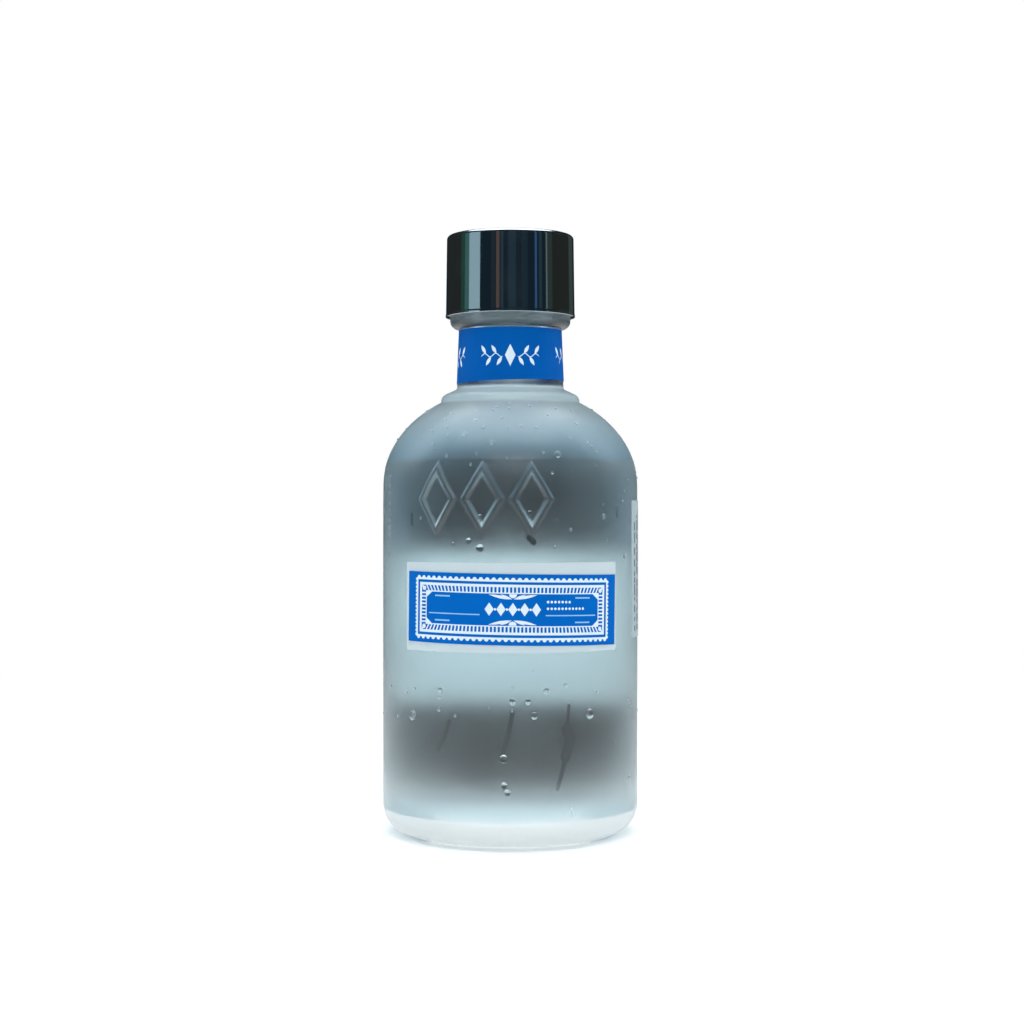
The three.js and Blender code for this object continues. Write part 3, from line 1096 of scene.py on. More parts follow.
@dataclass
class Vodka:
    """The spirit inside the glass, wetting its wall up to the fill level."""

    bottle: FrostedBottle
    overlap: float = 0.04
    meniscus: float = 0.4
    segments: int = 192

    def build(self) -> bpy.types.Object:
        """Makes the liquid, which stands for the CAD's vodka.

        Returns:
            The piece.
        """
        s = self.bottle.sizes
        level = s.fill_level
        wall = self.bottle.inside(-self.overlap)[1:]
        slope = (s.neck_bottom_radius - s.neck_wall - s.bore_radius) / (s.bead_bottom - s.neck_bottom)
        rim = wall[0][0] - slope * (level - s.neck_bottom)
        surface = [(0.0, level - 0.3), (rim * 0.7, level - 0.28), (rim - 1.0, level - 0.1)]
        mesh = lathe(surface + [(rim, level + self.meniscus)] + wall, self.segments)
        for face in mesh.faces:
            on_glass = face.normal.z < 0.3
            face.material_index = int(on_glass)
        return dress(new_piece("vodka_fill", mesh, [SPIRIT, SPIRIT_SIDE]), Body.BOTTLE, Slot.VODKA, "vodka")


@dataclass
class Condensation:
    """Drops of water on the cold glass: those given, and a fine mist, thinner on the front."""

    sizes: Sizes
    drops: Sequence[Drop]
    seed: int = 7
    mist_count: int = 190
    mist_heights: tuple[Point, ...] = ((28, 78), (82, 121), (100, 121))
    mist_radii: Point = (0.16, 0.42)
    front_reach: float = 75.0
    front_share: float = 0.4
    label_start: float = 60.0
    label_heights: Point = (38.0, 97.0)
    small_radius: float = 0.5
    flatness: float = 0.62
    root: float = 0.12
    hang: float = 1.18

    def mist(self) -> list[Drop]:
        """Scatters fine drops all round, more of them on the shoulder and none on the labels.

        Returns:
            The drops.
        """
        chance = random.Random(self.seed)
        found = []
        while len(found) < self.mist_count:
            height = chance.choice([chance.uniform(*heights) for heights in self.mist_heights])
            drop = Drop(chance.uniform(-180, 180), height, chance.uniform(*self.mist_radii))
            if abs(drop.around) > self.front_reach or chance.random() < self.front_share:
                found.append(drop)
        return [drop for drop in found if not self.on_label(drop)]

    def on_label(self, drop: Drop) -> bool:
        """Returns whether a drop would lie on the side or back label."""
        lowest, highest = self.label_heights
        return abs(drop.around) > self.label_start and lowest < drop.height < highest

    def all_drops(self) -> list[Drop]:
        """Returns the drops that stand out, and the fine ones."""
        return list(self.drops) + self.mist()

    def dome(self, mesh: bmesh.types.BMesh, drop: Drop) -> None:
        """Adds one flattened drop, hanging a little heavier at its lower edge.

        Args:
            mesh: The mesh of all the drops.
            drop: The drop.
        """
        radius = self.sizes.shoulder_radius(drop.height)
        angle = math.radians(drop.around)
        above, below = (self.sizes.shoulder_radius(drop.height + step) for step in (0.5, -0.5))
        outward = Vector((math.sin(angle), -math.cos(angle), below - above)).normalized()
        side = Vector((math.cos(angle), math.sin(angle), 0))
        up = outward.cross(side).normalized()
        if up.z < 0:
            up = -up
        centre = Vector((radius * math.sin(angle), -radius * math.cos(angle), drop.height))
        rings, spokes = (3, 10) if drop.radius < self.small_radius else (6, 20)
        grid = []
        for ring in range(rings + 1):
            share = ring / rings
            reach = drop.radius * math.sin(share * math.pi / 2)
            lift = drop.radius * self.flatness * math.cos(share * math.pi / 2)
            lift -= self.root if ring == rings else 0.0
            row = []
            for spoke in range(spokes if ring else 1):
                turn = math.tau * spoke / spokes
                stretch = self.hang if math.sin(turn) < 0 else 1.0
                spot = centre + side * reach * math.cos(turn) + up * reach * math.sin(turn) * stretch
                sink = self.sizes.shoulder_radius(spot.z) - math.hypot(spot.x, spot.y)
                spot += Vector((spot.x, spot.y, 0)).normalized() * sink + outward * lift
                row.append(mesh.verts.new(spot * MM))
            grid.append(row)
        for ring in range(rings):
            for spoke in range(spokes):
                after = (spoke + 1) % spokes
                outer = [grid[ring + 1][spoke], grid[ring + 1][after]]
                inner = [grid[ring][0]] if ring == 0 else [grid[ring][after], grid[ring][spoke]]
                mesh.faces.new(outer + inner)
        mesh.faces.new(list(reversed(grid[rings])))

    def build(self) -> bpy.types.Object:
        """Makes all the drops as one piece.

        Returns:
            The piece.
        """
        mesh = bmesh.new()
        for drop in self.all_drops():
            self.dome(mesh, drop)
        bmesh.ops.recalc_face_normals(mesh, faces=mesh.faces[:])
        sharpen(mesh, 70)
        return dress(new_piece("condensation", mesh, [WATER]), Body.BOTTLE, Slot.VODKA)


@dataclass
class NeckBand:
    """The blue band round the neck, cut a little aslant, with a white ornament."""

    sizes: Sizes
    top: float = 143.6
    bottom: float = 128.3
    lean: float = 1.6
    segments: int = 192
    rows: int = 12
    motif_height: float = 135.6
    motif_places: tuple[float, ...] = (0.0, 24.0, -24.0)

    def radius(self, height: float) -> float:
        """Works out where the band's outer face lies.

        Args:
            height: A height in millimetres.

        Returns:
            Its radius there.
        """
        s = self.sizes
        slope = (s.neck_bottom_radius - s.neck_top_radius) / (s.bead_bottom - s.neck_bottom)
        return s.neck_top_radius + slope * (s.bead_bottom - height) + SHEET_GAP + SHEET

    def band(self) -> bpy.types.Object:
        """Makes the paper band, whose lower edge rises to the right.

        Returns:
            The piece.
        """
        heights = [self.bottom + (self.top - self.bottom) * i / self.rows for i in range(self.rows + 1)]
        outer = [(self.radius(height), height) for height in heights]
        inner = [(radius - SHEET, height) for radius, height in reversed(outer)]
        mesh = lathe(outer + inner, self.segments, closed=True)
        cut = self.radius(self.bottom) * math.tan(math.radians(self.lean))
        for vert in mesh.verts:
            share = (self.top - vert.co.z / MM) / (self.top - self.bottom)
            across = vert.co.x / MM / self.radius(self.bottom)
            vert.co.z += (1 + across) * cut * share * MM
        sharpen(mesh, 50)
        return dress(new_piece("neck_band_paper", mesh, [SHADED_BLUE_BAND]), Body.BOTTLE, Slot.BLUE, "neck_band")

    def motif(self, sheet: Wrap, middle: float) -> None:
        """Adds a row of leaves along a waving stem, with a lozenge between.

        Args:
            sheet: The print.
            middle: The lozenge's place across it.
        """
        first_leaf, leaf_pitch, leaf_reach, leaf_half_width = 2.3, 1.6, 1.5, 0.52
        leaf_root, leaf_tip, wave, stem_width = 0.345, 2.875, 0.5, 0.24
        for side in (-1, 1):
            for i in range(4):
                x = middle + side * (first_leaf + leaf_pitch * i)
                up = 1 if i % 2 else -1
                leaf(sheet, (x, up * leaf_root), (x + side * leaf_reach, up * leaf_tip), leaf_half_width)
            stem = [(middle + side * t, wave * math.sin(t * 1.9)) for t in frange(2.1, 8.6, 0.5)]
            ribbon(sheet, stem, stem_width)
        lozenge(sheet, middle, 0.0, 1.5, 3.1)

    def build(self) -> list[bpy.types.Object]:
        """Makes the band and its print.

        Returns:
            The two pieces.
        """
        sheet = Wrap(lambda height: self.radius(height) + PRINT_GAP, 0.0, self.motif_height)
        for middle in self.motif_places:
            self.motif(sheet, middle)
        ink = dress(sheet.finish("neck_band_print", [WHITE_INK]), Body.BOTTLE, Slot.BLUE)
        return [self.band(), ink]


def frange(start: float, stop: float, step: float) -> list[float]:
    """Returns the numbers from start up to stop, a step apart."""
    return [start + step * i for i in range(int((stop - start) / step + 1e-6) + 1)]


def ribbon(sheet: Wrap, path: Sequence[Point], width: float, end: float = 0.35) -> None:
    """Adds a line of even width along a path, with narrow ends.

    Args:
        sheet: The print.
        path: The line's points.
        width: Its width.
        end: The share of the width that its ends have.
    """
    edges = []
    for i, (x, y) in enumerate(path):
        x0, y0 = path[max(0, i - 1)]
        x1, y1 = path[min(len(path) - 1, i + 1)]
        along = Vector((x1 - x0, y1 - y0)).normalized()
        half = width / 2 * (end if i in (0, len(path) - 1) else 1.0)
        edges.append(((x - along.y * half, y + along.x * half), (x + along.y * half, y - along.x * half)))
    for (a0, b0), (a1, b1) in zip(edges, edges[1:]):
        sheet.face([b0, b1, a1, a0])


def leaf(sheet: Wrap, start: Point, end: Point, half: float) -> None:
    """Adds a pointed leaf.

    Args:
        sheet: The print.
        start: Its root.
        end: Its tip.
        half: Half its greatest width.
    """
    along = Vector(end) - Vector(start)
    across = Vector((-along.y, along.x)).normalized() * half
    right, left = [], []
    for share, swell in ((0.25, 0.7), (0.5, 1.0), (0.75, 0.7)):
        spot = Vector(start) + along * share
        right.append(tuple(spot - across * swell))
        left.append(tuple(spot + across * swell))
    sheet.face([start, *right, end, *reversed(left)])


def lozenge(sheet: Wrap, x: float, y: float, half_width: float, half_height: float) -> None:
    """Adds a solid lozenge."""
    sheet.face([(x - half_width, y), (x, y - half_height), (x + half_width, y), (x, y + half_height)])


def disc(sheet: Wrap, x: float, y: float, radius: float, first: float = 0, last: float = 360) -> None:
    """Adds a disc, or the part of it between two angles.

    Args:
        sheet: The print.
        x: Its middle's place across.
        y: Its middle's place up.
        radius: Its radius.
        first: The first angle, in degrees.
        last: The last angle.
    """
    count = max(4, round((last - first) / 30))
    angles = [math.radians(first + (last - first) * i / count) for i in range(count + (last - first < 360))]
    sheet.face([(x + radius * math.cos(a), y + radius * math.sin(a)) for a in angles])


@dataclass
class FrontLabel:
    """The film and the blue printed label on the front of the body.

    film_place and place are the middles' angle in degrees and height.
    """

    sizes: Sizes
    film_place: Point = (0.7, 65.8)
    film_width: float = 65.9
    film_height: float = 24.2
    place: Point = (1.1, 65.3)
    lean: float = -0.95
    width: float = 64.4
    height: float = 19.2
    side_margin: float = 2.7
    margin: float = 1.05
    scallop: float = 0.5
    scallop_base: float = 0.55
    gap: float = 0.72
    line: float = 0.72
    hatch: float = 1.75
    thin: float = 0.3

    def scallops(self, sheet: Wrap) -> None:
        """Adds the outer border, a row of scallops.

        Args:
            sheet: The print.
        """
        long_pitch, long_radius, short_pitch, short_radius = 1.75, 0.6, 1.05, 0.42
        half_width = self.width / 2 - self.side_margin - self.scallop
        half_height = self.height / 2 - self.margin - self.scallop
        sheet.frame(half_width, half_height, self.scallop_base)
        long_count = round(2 * half_width / long_pitch)
        for i in range(long_count):
            x = -half_width + (i + 0.5) * 2 * half_width / long_count
            disc(sheet, x, half_height, long_radius, 0, 180)
            disc(sheet, x, -half_height, long_radius, 180, 360)
        short_count = round(2 * half_height / short_pitch)
        for i in range(short_count):
            y = -half_height + (i + 0.5) * 2 * half_height / short_count
            disc(sheet, half_width, y, short_radius, -90, 90)
            disc(sheet, -half_width, y, short_radius, 90, 270)

    def hatching(self, sheet: Wrap, half_width: float, half_height: float) -> None:
        """Adds the band of short strokes that fan out towards the ends.

        Args:
            sheet: The print.
            half_width: Half the band's width outside.
            half_height: Half its height outside.
        """
        pitch, stroke, end_pitch, end_stroke, most_slant = 1.05, 0.46, 0.95, 0.4, 1.15
        inner_width = half_width - self.hatch
        inner_height = half_height - self.hatch
        row = inner_width - 1.0
        count = round(2 * row / pitch)
        for i in range(count + 1):
            x = -row + i * 2 * row / count
            slant = most_slant * (x / inner_width) ** 3
            for side in (-1, 1):
                near, far = side * inner_height, side * half_height
                low = (x, near) if side > 0 else (x + slant, far)
                high = (x + slant, far) if side > 0 else (x, near)
                corners = [
                    (low[0] - stroke / 2, low[1]),
                    (low[0] + stroke / 2, low[1]),
                    (high[0] + stroke / 2, high[1]),
                    (high[0] - stroke / 2, high[1]),
                ]
                sheet.face(corners)
        column = inner_height - end_stroke
        count = round(2 * column / end_pitch)
        for i in range(count + 1):
            y = -column + i * 2 * column / count
            for side in (-1, 1):
                left, right = sorted((side * inner_width, side * half_width))
                sheet.bar(left, right, y - end_stroke / 2, y + end_stroke / 2)
        for side_x in (-1, 1):
            for side_y in (-1, 1):
                x, y = side_x * (half_width - self.hatch / 2), side_y * (half_height - self.hatch / 2)
                disc(sheet, x, y, 0.62)
                leaf(sheet, (x, y), (side_x * half_width, side_y * half_height), 0.3)

    def centre(self, sheet: Wrap, half_width: float, half_height: float) -> None:
        """Adds the field's ornament: lozenges between two rules, with fans, dots and corner pieces.

        Args:
            sheet: The print.
            half_width: Half the field's width.
            half_height: Half its height.
        """
        middle, spacing = 0.1, 3.2
        for i in range(-2, 3):
            lozenge(sheet, i * spacing, middle, 1.25, 1.8)
        for i in (-1.5, -0.5, 0.5, 1.5):
            disc(sheet, i * spacing, middle, 0.34)
        for count, y in ((7, 2.2), (11, 0.4)):
            for i in range(count):
                disc(sheet, 9.6 + i * 1.05, y, 0.36)
        rule, corner_width, corner_height = half_height - 1.0, 1.9, 1.5
        for side in (-1, 1):
            left, right = sorted((side * 9.0, side * (half_width - 0.9)))
            sheet.bar(left, right, -1.6, -1.28, Ink.PALE)
            for side_y in (-1, 1):
                left, right = sorted((side * (half_width - 2.9), side * (half_width - 7.6)))
                sheet.bar(left, right, side_y * rule - 0.2, side_y * rule + 0.2, Ink.PALE)
                corner = [
                    (half_width, half_height),
                    (half_width - corner_width, half_height),
                    (half_width, half_height - corner_height),
                ]
                points = [(side * x, side_y * y) for x, y in corner]
                sheet.face(points if side * side_y > 0 else reversed(points))
        for side_y in (-1, 1):
            for side in (-1, 1):
                root = (side * 0.2, side_y * (half_height - 1.5))
                leaf(sheet, root, (side * 6.6, side_y * (half_height - 0.25)), 0.42)
                leaf(sheet, root, (side * 3.4, side_y * (half_height - 0.2)), 0.3)
            first = 180 if side_y > 0 else 0
            disc(sheet, 0.0, side_y * (half_height - 0.1), 1.1, first, first + 180)

    def build(self) -> list[bpy.types.Object]:
        """Makes the film, the blue paper and its print.

        Returns:
            The three pieces.
        """
        film_radius = self.sizes.body_radius + SHEET_GAP
        paper_radius = film_radius + SHEET + SHEET_GAP
        ink_radius = paper_radius + SHEET + PRINT_GAP
        film = Wrap(lambda height: film_radius, *self.film_place)
        film.plate(self.film_width, self.film_height)
        paper = Wrap(lambda height: paper_radius, *self.place, self.lean)
        paper.plate(self.width, self.height)
        ink = Wrap(lambda height: ink_radius, *self.place, self.lean)
        self.scallops(ink)
        inset = self.scallop + self.scallop_base + self.gap
        half_width = self.width / 2 - self.side_margin - inset
        half_height = self.height / 2 - self.margin - inset
        ink.frame(half_width, half_height, self.line)
        half_width -= self.line
        half_height -= self.line
        self.hatching(ink, half_width, half_height)
        half_width -= self.hatch
        half_height -= self.hatch
        ink.frame(half_width + self.thin, half_height + self.thin, self.thin)
        self.centre(ink, half_width, half_height)
        return [
            dress(film.finish("label_film", [LABEL_FILM]), Body.BOTTLE, Slot.FILM, "front_label_film"),
            dress(paper.finish("front_label_paper", [BLUE_PAPER]), Body.BOTTLE, Slot.BLUE, "front_label"),
            dress(ink.finish("front_label_print", [WHITE_INK, PALE_INK]), Body.BOTTLE, Slot.BLUE),
        ]


@dataclass
class PlainLabels:
    """The side label with its grey bars, and the plain back label.

    A place is a label's middle, as its angle in degrees and height, and a size its width and height.
    """

    sizes: Sizes
    side_place: Point = (91.0, 75.7)
    side_lean: float = 0.8
    side_size: Point = (28.0, 38.6)
    columns: int = 9
    seed: int = 3
    back_place: Point = (180.0, 57.5)
    back_size: Point = (62.0, 45.0)
    rows: int = 10

    def bars(self, sheet: Wrap) -> None:
        """Adds the side label's columns of broken bars.

        Args:
            sheet: The print.
        """
        left, pitch, width, reach = -12.3, 2.9, 1.25, 17.4
        shortest, longest, gaps = 0.8, 3.4, (0.45, 0.45, 1.3)
        chance = random.Random(self.seed)
        for column in range(self.columns):
            x = left + column * pitch
            low = -reach
            while low < reach - 2.9:
                high = min(reach, low + chance.uniform(shortest, longest))
                sheet.bar(x, x + width, low, high)
                low = high + chance.choice(gaps)

    def rules(self, sheet: Wrap) -> None:
        """Adds the back label's frame and its rows of rules of three lengths.

        Args:
            sheet: The print.
        """
        sheet.frame(28.5, 20.0, 0.35)
        reach, shorter, first, pitch, thick = 24.0, 3.0, 13.6, 3.1, 0.7
        for row in range(self.rows):
            low = first - row * pitch
            sheet.bar(-reach, reach - shorter * (row % 3), low, low + thick)

    def build(self) -> list[bpy.types.Object]:
        """Makes both labels and their print.

        Returns:
            The four pieces.
        """
        radius = self.sizes.body_radius + SHEET_GAP
        ink_radius = radius + SHEET + PRINT_GAP
        side = Wrap(lambda height: radius, *self.side_place, self.side_lean)
        side.plate(*self.side_size)
        bars = Wrap(lambda height: ink_radius, *self.side_place, self.side_lean)
        self.bars(bars)
        back = Wrap(lambda height: radius, *self.back_place)
        back.plate(*self.back_size)
        rules = Wrap(lambda height: ink_radius, *self.back_place)
        self.rules(rules)
        return [
            dress(side.finish("side_label_paper", [SHADED_SIDE_PAPER]), Body.BOTTLE, Slot.WHITE, "side_label"),
            dress(bars.finish("side_label_bars", [GREY_INK]), Body.BOTTLE, Slot.WHITE),
            dress(back.finish("back_label_paper", [BACK_PAPER]), Body.BOTTLE, Slot.WHITE, "back_label"),
            dress(rules.finish("back_label_rules", [GREY_INK]), Body.BOTTLE, Slot.WHITE),
        ]


@dataclass
class ScrewCap:
    """The bright metal shell, over the CAD's own insert and liner."""

    bottom: float = 147.5
    top: float = 170.9
    bottom_radius: float = 18.5
    top_radius: float = 18.2
    wall: float = 0.5
    edge: float = 1.1
    flare: float = 0.12
    segments: int = 256

    def shell(self) -> bpy.types.Object:
        """Makes the metal shell, with its rounded crown and its rim that flares a little.

        Returns:
            The piece.
        """
        rim_radius = self.bottom_radius + self.flare
        profile = rounded(
            [
                (0.0, self.top - self.wall, 0),
                (self.top_radius - self.wall, self.top - self.wall, self.edge - self.wall),
                (self.bottom_radius - self.wall, self.bottom + 0.6, 0.5),
                (rim_radius - self.wall, self.bottom, 0.1),
                (rim_radius, self.bottom, 0.2),
                (rim_radius, self.bottom + 0.5, 0.15),
                (self.bottom_radius, self.bottom + 1.0, 0.8),
                (self.top_radius, self.top, self.edge),
                (0.0, self.top, 0),
            ],
            steps=8,
        )
        mesh = lathe(supported(profile, 4.0), self.segments)
        sharpen(mesh, 60)
        return dress(new_piece("bright_cap", mesh, [BRIGHT_METAL]), Body.CAP, Slot.METAL, "cap_shell")

    def build(self) -> list[bpy.types.Object]:
        """Makes the shell, and gives the CAD's insert and liner their finishes.

        Returns:
            The shell alone, in a list.
        """
        for node, finish in (("cap_insert", WHITE_PLASTIC), ("cap_liner", FOAM)):
            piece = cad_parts[node]
            for slot in piece.material_slots:
                slot.material = finish.build()
        return [self.shell()]


@dataclass(frozen=True)
class Card:
    """An upright card that only reflections or only refractions see.

    around is its angle from the camera's side, positive to the right, and width the angle that
    it takes up, both in degrees. The other sizes are in metres.
    """

    name: str
    around: float
    width: float
    colour: str
    strength: float = 1.0
    radius: float = 0.62
    low: float = -0.05
    high: float = 0.42
    glossy: bool = True
    transmission: bool = False

    def edges(self) -> tuple[Point, Point]:
        """Returns the radius and height of its two long edges."""
        return (self.radius, self.low), (self.radius, self.high)


@dataclass(frozen=True)
class FloorCard(Card):
    """A card lying on the floor, a ring part from the distance inner out to radius."""

    inner: float = 0.1

    def edges(self) -> tuple[Point, Point]:
        """Returns the radius and height of its two long edges."""
        return (self.inner, self.low), (self.radius, self.low)


@dataclass(frozen=True)
class Softbox:
    """An area light: where it stands, what it looks at, its size in metres and its power in watts."""

    name: str
    place: tuple[float, float, float]
    target: tuple[float, float, float]
    size: tuple[float, float]
    power: float
    colour: str = "FFFFFF"


@dataclass
class Studio:
    """The floor, the cards, the lights, the world and the camera."""

    cards: Sequence[Card]
    lights: Sequence[Softbox]
    focal: float = 66.8
    camera_place: tuple[float, float, float] = (0.00049, -0.547, 0.0916)
    ambient: float = 0.55
    bounces: int = 24

    def floor(self) -> None:
        """Adds the plain pale floor, which runs into the white background."""
        mesh = bmesh.new()
        bmesh.ops.create_grid(mesh, x_segments=8, y_segments=8, size=4.0)
        finish = PaleFloor("pale_floor", "F6F8F9", 0.6, second="F3F5F6", patch=0.4)
        piece = new_piece("studio_floor", mesh, [finish])

    def card(self, card: Card) -> None:
        """Adds one card as a curved strip of plain light.

        Args:
            card: The card.
        """
        mesh = bmesh.new()
        degrees_a_step = 4
        steps = max(2, math.ceil(card.width / degrees_a_step))
        rows = []
        for radius, height in card.edges():
            row = []
            for i in range(steps + 1):
                angle = math.radians(card.around - card.width / 2 + card.width * i / steps)
                row.append(mesh.verts.new((radius * math.sin(angle), -radius * math.cos(angle), height)))
            rows.append(row)
        for i in range(steps):
            mesh.faces.new((rows[0][i], rows[0][i + 1], rows[1][i + 1], rows[1][i]))
        piece = new_piece(card.name, mesh, [], smooth=False)
        material = bpy.data.materials.new(card.name)
        material.use_nodes = True
        tree = material.node_tree
        tree.nodes.clear()
        glow = add_node(tree, "ShaderNodeEmission", {"Color": linear(card.colour), "Strength": card.strength})
        add_node(tree, "ShaderNodeOutputMaterial", {"Surface": glow.outputs[0]})
        piece.data.materials.append(material)
        piece.visible_camera = False
        piece.visible_diffuse = False
        piece.visible_shadow = False
        piece.visible_glossy = card.glossy
        piece.visible_transmission = card.transmission

    def light(self, box: Softbox) -> None:
        """Adds one area light.

        Args:
            box: The light.
        """
        data = bpy.data.lights.new(box.name, "AREA")
        data.shape = "RECTANGLE"
        data.size, data.size_y = box.size
        data.energy = box.power
        data.color = linear(box.colour)[:3]
        lamp = bpy.data.objects.new(box.name, data)
        lamp.location = box.place
        lamp.rotation_euler = (Vector(box.target) - Vector(box.place)).to_track_quat("-Z", "Y").to_euler()
        lamp.visible_camera = False
        bpy.context.scene.collection.objects.link(lamp)

    def world(self) -> None:
        """Makes the world white to the camera, reflections and refractions, and softer as a light."""
        world = bpy.data.worlds.new("studio_world")
        bpy.context.scene.world = world
        world.use_nodes = True
        tree = world.node_tree
        tree.nodes.clear()
        path = add_node(tree, "ShaderNodeLightPath")
        seen = path.outputs["Is Camera Ray"]
        for name in ("Is Glossy Ray", "Is Transmission Ray"):
            seen = add_node(
                tree, "ShaderNodeMath", {0: seen, 1: path.outputs[name]}, operation="MAXIMUM"
            ).outputs[0]
        soft = add_node(tree, "ShaderNodeBackground", {"Color": linear("F4F8FA"), "Strength": self.ambient})
        white = add_node(tree, "ShaderNodeBackground", {"Color": (1, 1, 1, 1), "Strength": 1.0})
        mixed = add_node(tree, "ShaderNodeMixShader", {0: seen, 1: soft.outputs[0], 2: white.outputs[0]})
        add_node(tree, "ShaderNodeOutputWorld", {"Surface": mixed.outputs[0]})

    def camera(self) -> None:
        """Adds the camera at the photograph's viewpoint, level and looking along +Y."""
        data = bpy.data.cameras.new("photo_camera")
        data.lens = self.focal
        data.sensor_width = 36.0
        data.clip_start = 0.01
        camera = bpy.data.objects.new("photo_camera", data)
        camera.location = self.camera_place
        camera.rotation_euler = (math.pi / 2, 0, 0)
        bpy.context.scene.collection.objects.link(camera)
        bpy.context.scene.camera = camera

    def build(self) -> None:
        """Sets up the whole studio."""
        scene = bpy.context.scene
        scene.view_settings.view_transform = "Standard"
        scene.cycles.max_bounces = self.bounces
        scene.cycles.transmission_bounces = self.bounces
        scene.cycles.blur_glossy = 0.0
        self.floor()
        for card in self.cards:
            self.card(card)
        for box in self.lights:
            self.light(box)
        self.world()
        self.camera()


# Drops that stand out in the photograph: angle in degrees, height and radius in millimetres.
DROPS = tuple(
    Drop(*values)
    for values in (
        (-0.1, 121.5, 0.42), (42.2, 119.6, 0.42), (-39.0, 119.0, 0.42), (-21.1, 119.6, 0.42),
        (-10.8, 119.8, 0.42), (-0.8, 120.1, 0.42), (13.3, 120.9, 0.42), (31.0, 120.3, 0.42),
        (22.5, 118.4, 0.42), (-4.7, 117.4, 0.42), (-19.4, 116.8, 0.42), (-39.7, 117.4, 0.42),
        (5.8, 115.2, 0.42), (13.5, 114.7, 0.42), (-44.0, 114.0, 0.42), (29.8, 111.8, 0.42),
        (38.6, 116.0, 0.42), (39.7, 110.7, 0.42), (41.1, 109.7, 0.42), (-39.2, 110.3, 0.42),
        (-15.1, 107.5, 0.42), (-29.7, 106.9, 0.42), (15.0, 107.7, 0.42), (-17.4, 104.5, 0.42),
        (-25.1, 83.2, 0.42), (26.8, 86.8, 0.42), (19.4, 82.2, 0.42), (-13.9, 114.8, 0.67),
        (-23.2, 112.7, 0.82), (-8.5, 110.4, 0.72), (21.5, 107.3, 0.96), (8.3, 91.4, 0.58),
        (-12.9, 90.4, 0.58), (-17.9, 83.9, 0.77), (-12.8, 82.0, 1.06), (44.6, 90.4, 0.72),
        (60.6, 79.4, 0.72), (-65.7, 43.0, 0.42), (-51.6, 41.9, 0.42), (-45.8, 43.2, 0.42),
        (-31.8, 41.3, 0.42), (0.9, 44.4, 0.42), (0.8, 38.2, 0.42), (25.9, 40.2, 0.42),
        (40.9, 42.4, 0.42), (64.9, 39.6, 0.42), (65.6, 17.6, 0.42), (26.9, 11.4, 0.42),
        (-58.7, 34.9, 0.42), (-31.4, 43.2, 0.77), (-32.1, 38.1, 0.67), (-24.2, 36.5, 0.38),
        (-47.2, 35.8, 1.25), (0.9, 40.6, 0.86), (7.6, 40.6, 0.77), (10.3, 36.8, 0.96),
        (15.5, 43.4, 0.77), (24.2, 44.7, 0.58), (36.4, 36.7, 1.3), (-2.8, 25.3, 1.06),
        (-2.6, 18.1, 0.86), (-1.1, 16.2, 0.86),
    )
)

# Clear runs below the drops and beside the ornament: points of angle in degrees and height, and a width.
STREAKS = (
    Streak(((-26.8, 34.9), (-29.0, 31.0), (-32.1, 27.0)), 0.9),
    Streak(((1.1, 37.7), (-0.8, 32.0), (-3.0, 26.7)), 1.0),
    Streak(((25.9, 39.8), (25.3, 35.9), (25.1, 32.3)), 0.7),
    Streak(((24.8, 32.6), (26.6, 30.1), (24.2, 25.5)), 2.6),
    Streak(((24.2, 25.5), (22.2, 20.6), (20.5, 16.8)), 1.0),
    Streak(((8.2, 84.7), (9.4, 84.0), (9.9, 83.5)), 1.4),
    Streak(((-47.8, 90.9), (-47.8, 88.6)), 0.9),
    Streak(((54.0, 92.9), (54.0, 90.6)), 0.9),
)

# Three lozenges on the shoulder and a column of ten beads on its left.
ORNAMENT = tuple(LozengeRelief(around) for around in (-33.2, -12.0, 9.2)) + tuple(
    BeadRelief(-68.0, 80.5 + 2.3 * i) for i in range(10)
)

# What the mirror cap reflects in a dark room: strips between two angles from the camera's side, in degrees,
# with their colour and strength.
REFLECTED_STRIPS = (
    (-150, -98, "2A2E2E", 1.0),
    (-98, -88, "2C4A44", 1.0),
    (-88, -78, "47706C", 1.0),
    (-78, -55, "87A0AA", 1.5),
    (-34, -27, "28333B", 1.0),
    (-25, -19, "62524E", 1.0),
    (-17, -12, "31424E", 1.0),
    (-4, 10, "273A46", 1.0),
    (20, 31, "22343F", 1.0),
    (44, 48, "3C608E", 1.0),
    (52, 58, "2C424C", 1.0),
    (66, 69, "6E7C7E", 1.0),
    (69, 80, "36423F", 1.0),
    (80, 130, "2A2F2C", 1.0),
    (130, 150, "424C49", 1.0),
)
REFLECTED_CARDS = tuple(
    Card(f"card_strip_{index}", (first + last) / 2, last - first, colour, strength, radius=0.60)
    for index, (first, last, colour, strength) in enumerate(REFLECTED_STRIPS)
) + (
    Card("card_surround", 0.0, 360.0, "1A2933", radius=0.66, high=0.8),
    Card("card_ceiling_low", 0.0, 360.0, "54707E", radius=0.66, low=0.8, high=1.0),
    Card("card_ceiling_mid", 0.0, 360.0, "9CB8C6", radius=0.66, low=1.0, high=1.4),
)

# What the filled glass refracts: distance, low and high edge in metres, then the angles from straight behind,
# in degrees, between which a colour runs on both sides.
REFRACTED_ROWS = (
    ("low", 0.079, 0.001, 0.046, ((0, 13, "010203"), (13, 21, "061318"), (21, 43, "103C54"))),
    ("far", 0.30, 0.0, 0.035, ((0, 63, "467188"),)),
    ("high", 0.30, 0.036, 0.175, ((0, 15, "010203"), (15, 27, "0A1A22"), (27, 63, "386A84"))),
    ("neck", 0.30, 0.176, 0.20, ((0, 63, "0A1418"),)),
    ("upper", 0.30, 0.201, 0.30, ((0, 63, "7896A4"),)),
    ("front", 0.50, 0.02, 0.20, ((148, 180, "0C161C"),)),
)

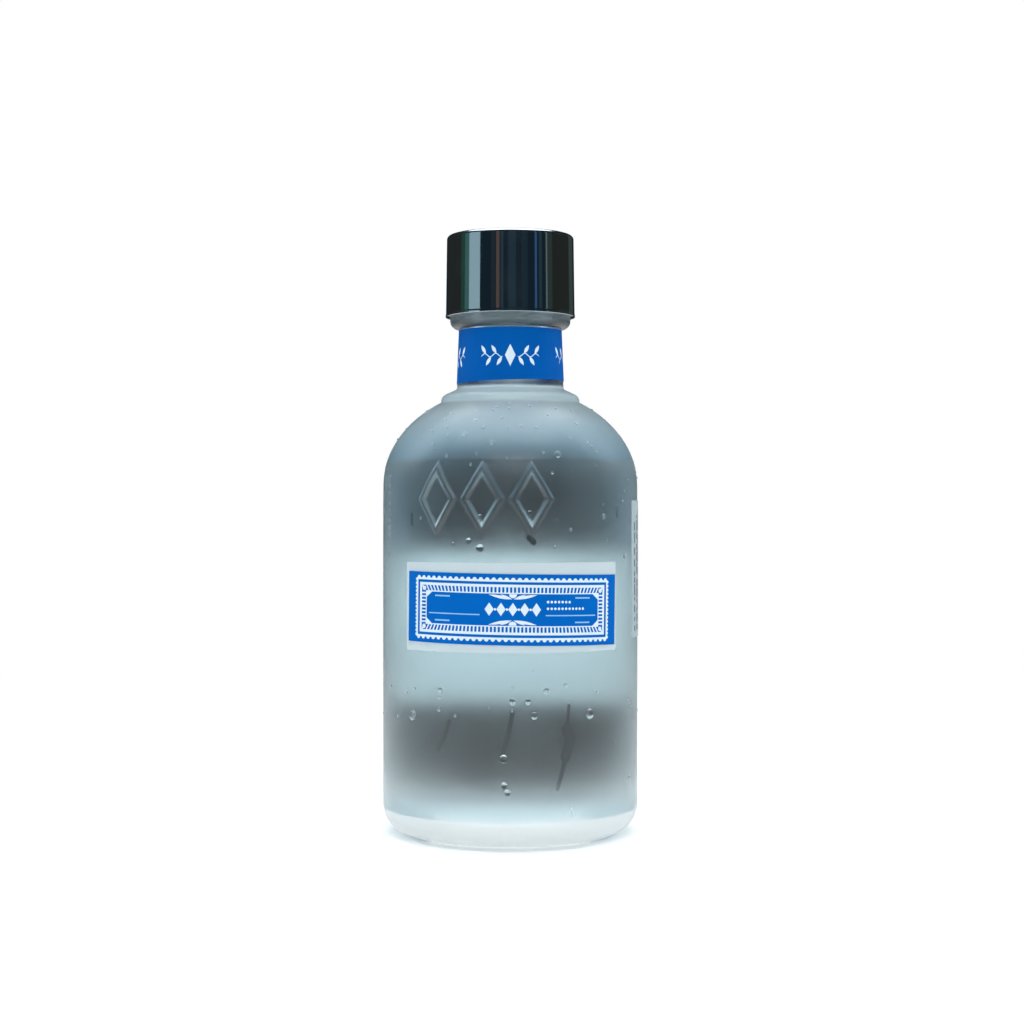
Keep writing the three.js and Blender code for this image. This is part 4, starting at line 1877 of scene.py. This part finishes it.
# The same for the floor: name, middle and width in degrees, colour and strength, then the inner and outer
# distance and the height in metres.
FLOOR_PARTS = (
    ("card_floor", 180, 150, "7C9AAA", 1.0, 0.15, 0.3, 0.0006),
    ("card_floor_near", 180, 120, "24343D", 1.0, 0.056, 0.079, 0.0008),
    ("card_table", 0, 100, "FFFFFF", 1.15, 0.001, 0.05, 0.0004),
    ("card_table_back", 180, 100, "FFFFFF", 1.15, 0.001, 0.05, 0.0004),
    ("card_table_left", -90, 80, "9CB6C2", 1.0, 0.001, 0.05, 0.0004),
    ("card_table_right", 90, 80, "9CB6C2", 1.0, 0.001, 0.05, 0.0004),
)

REFRACTED_CARDS = tuple(
    Card(
        f"card_{row}_{side}_{first}",
        180 + sign * (first + last) / 2,
        last - first,
        colour,
        radius=radius,
        low=low,
        high=high,
        glossy=False,
        transmission=True,
    )
    for row, radius, low, high, parts in REFRACTED_ROWS
    for first, last, colour in parts
    for side, sign in (("left", 1), ("right", -1))
) + tuple(
    FloorCard(name, around, width, colour, strength, outer, low, glossy=False, transmission=True, inner=inner)
    for name, around, width, colour, strength, inner, outer, low in FLOOR_PARTS
)

# The middle of the bottle, at which every lamp points, in metres.
MIDDLE = (0.0, 0.0, 0.08)
LIGHTS = (
    Softbox("top_softbox", (0.0, 0.1, 0.95), MIDDLE, (1.2, 1.2), 9.0),
    Softbox("left_softbox", (-0.9, 0.35, 0.75), MIDDLE, (0.6, 0.8), 3.5, "F2FAFF"),
    Softbox("right_softbox", (0.9, 0.35, 0.75), MIDDLE, (0.6, 0.8), 3.5, "F2FAFF"),
    Softbox("front_fill", (0.1, -1.1, 0.7), MIDDLE, (0.8, 0.6), 3.0),
)


def main() -> None:
    """Builds the bottle and the studio, and logs each piece."""
    logging.basicConfig(level=logging.INFO, format="%(name)s: %(message)s")
    Studio(REFLECTED_CARDS + REFRACTED_CARDS, LIGHTS).build()
    condensation = Condensation(SIZES, DROPS)
    bottle = FrostedBottle(SIZES, ORNAMENT, STREAKS, condensation.all_drops())
    pieces = [bottle.build(), Vodka(bottle).build(), condensation.build()]
    for part in (NeckBand(SIZES), FrontLabel(SIZES), PlainLabels(SIZES), ScrewCap()):
        pieces += part.build()
    for piece in pieces:
        LOG.info("%s: %d faces", piece.name, len(piece.data.polygons))


if __name__ == "__main__":
    main()
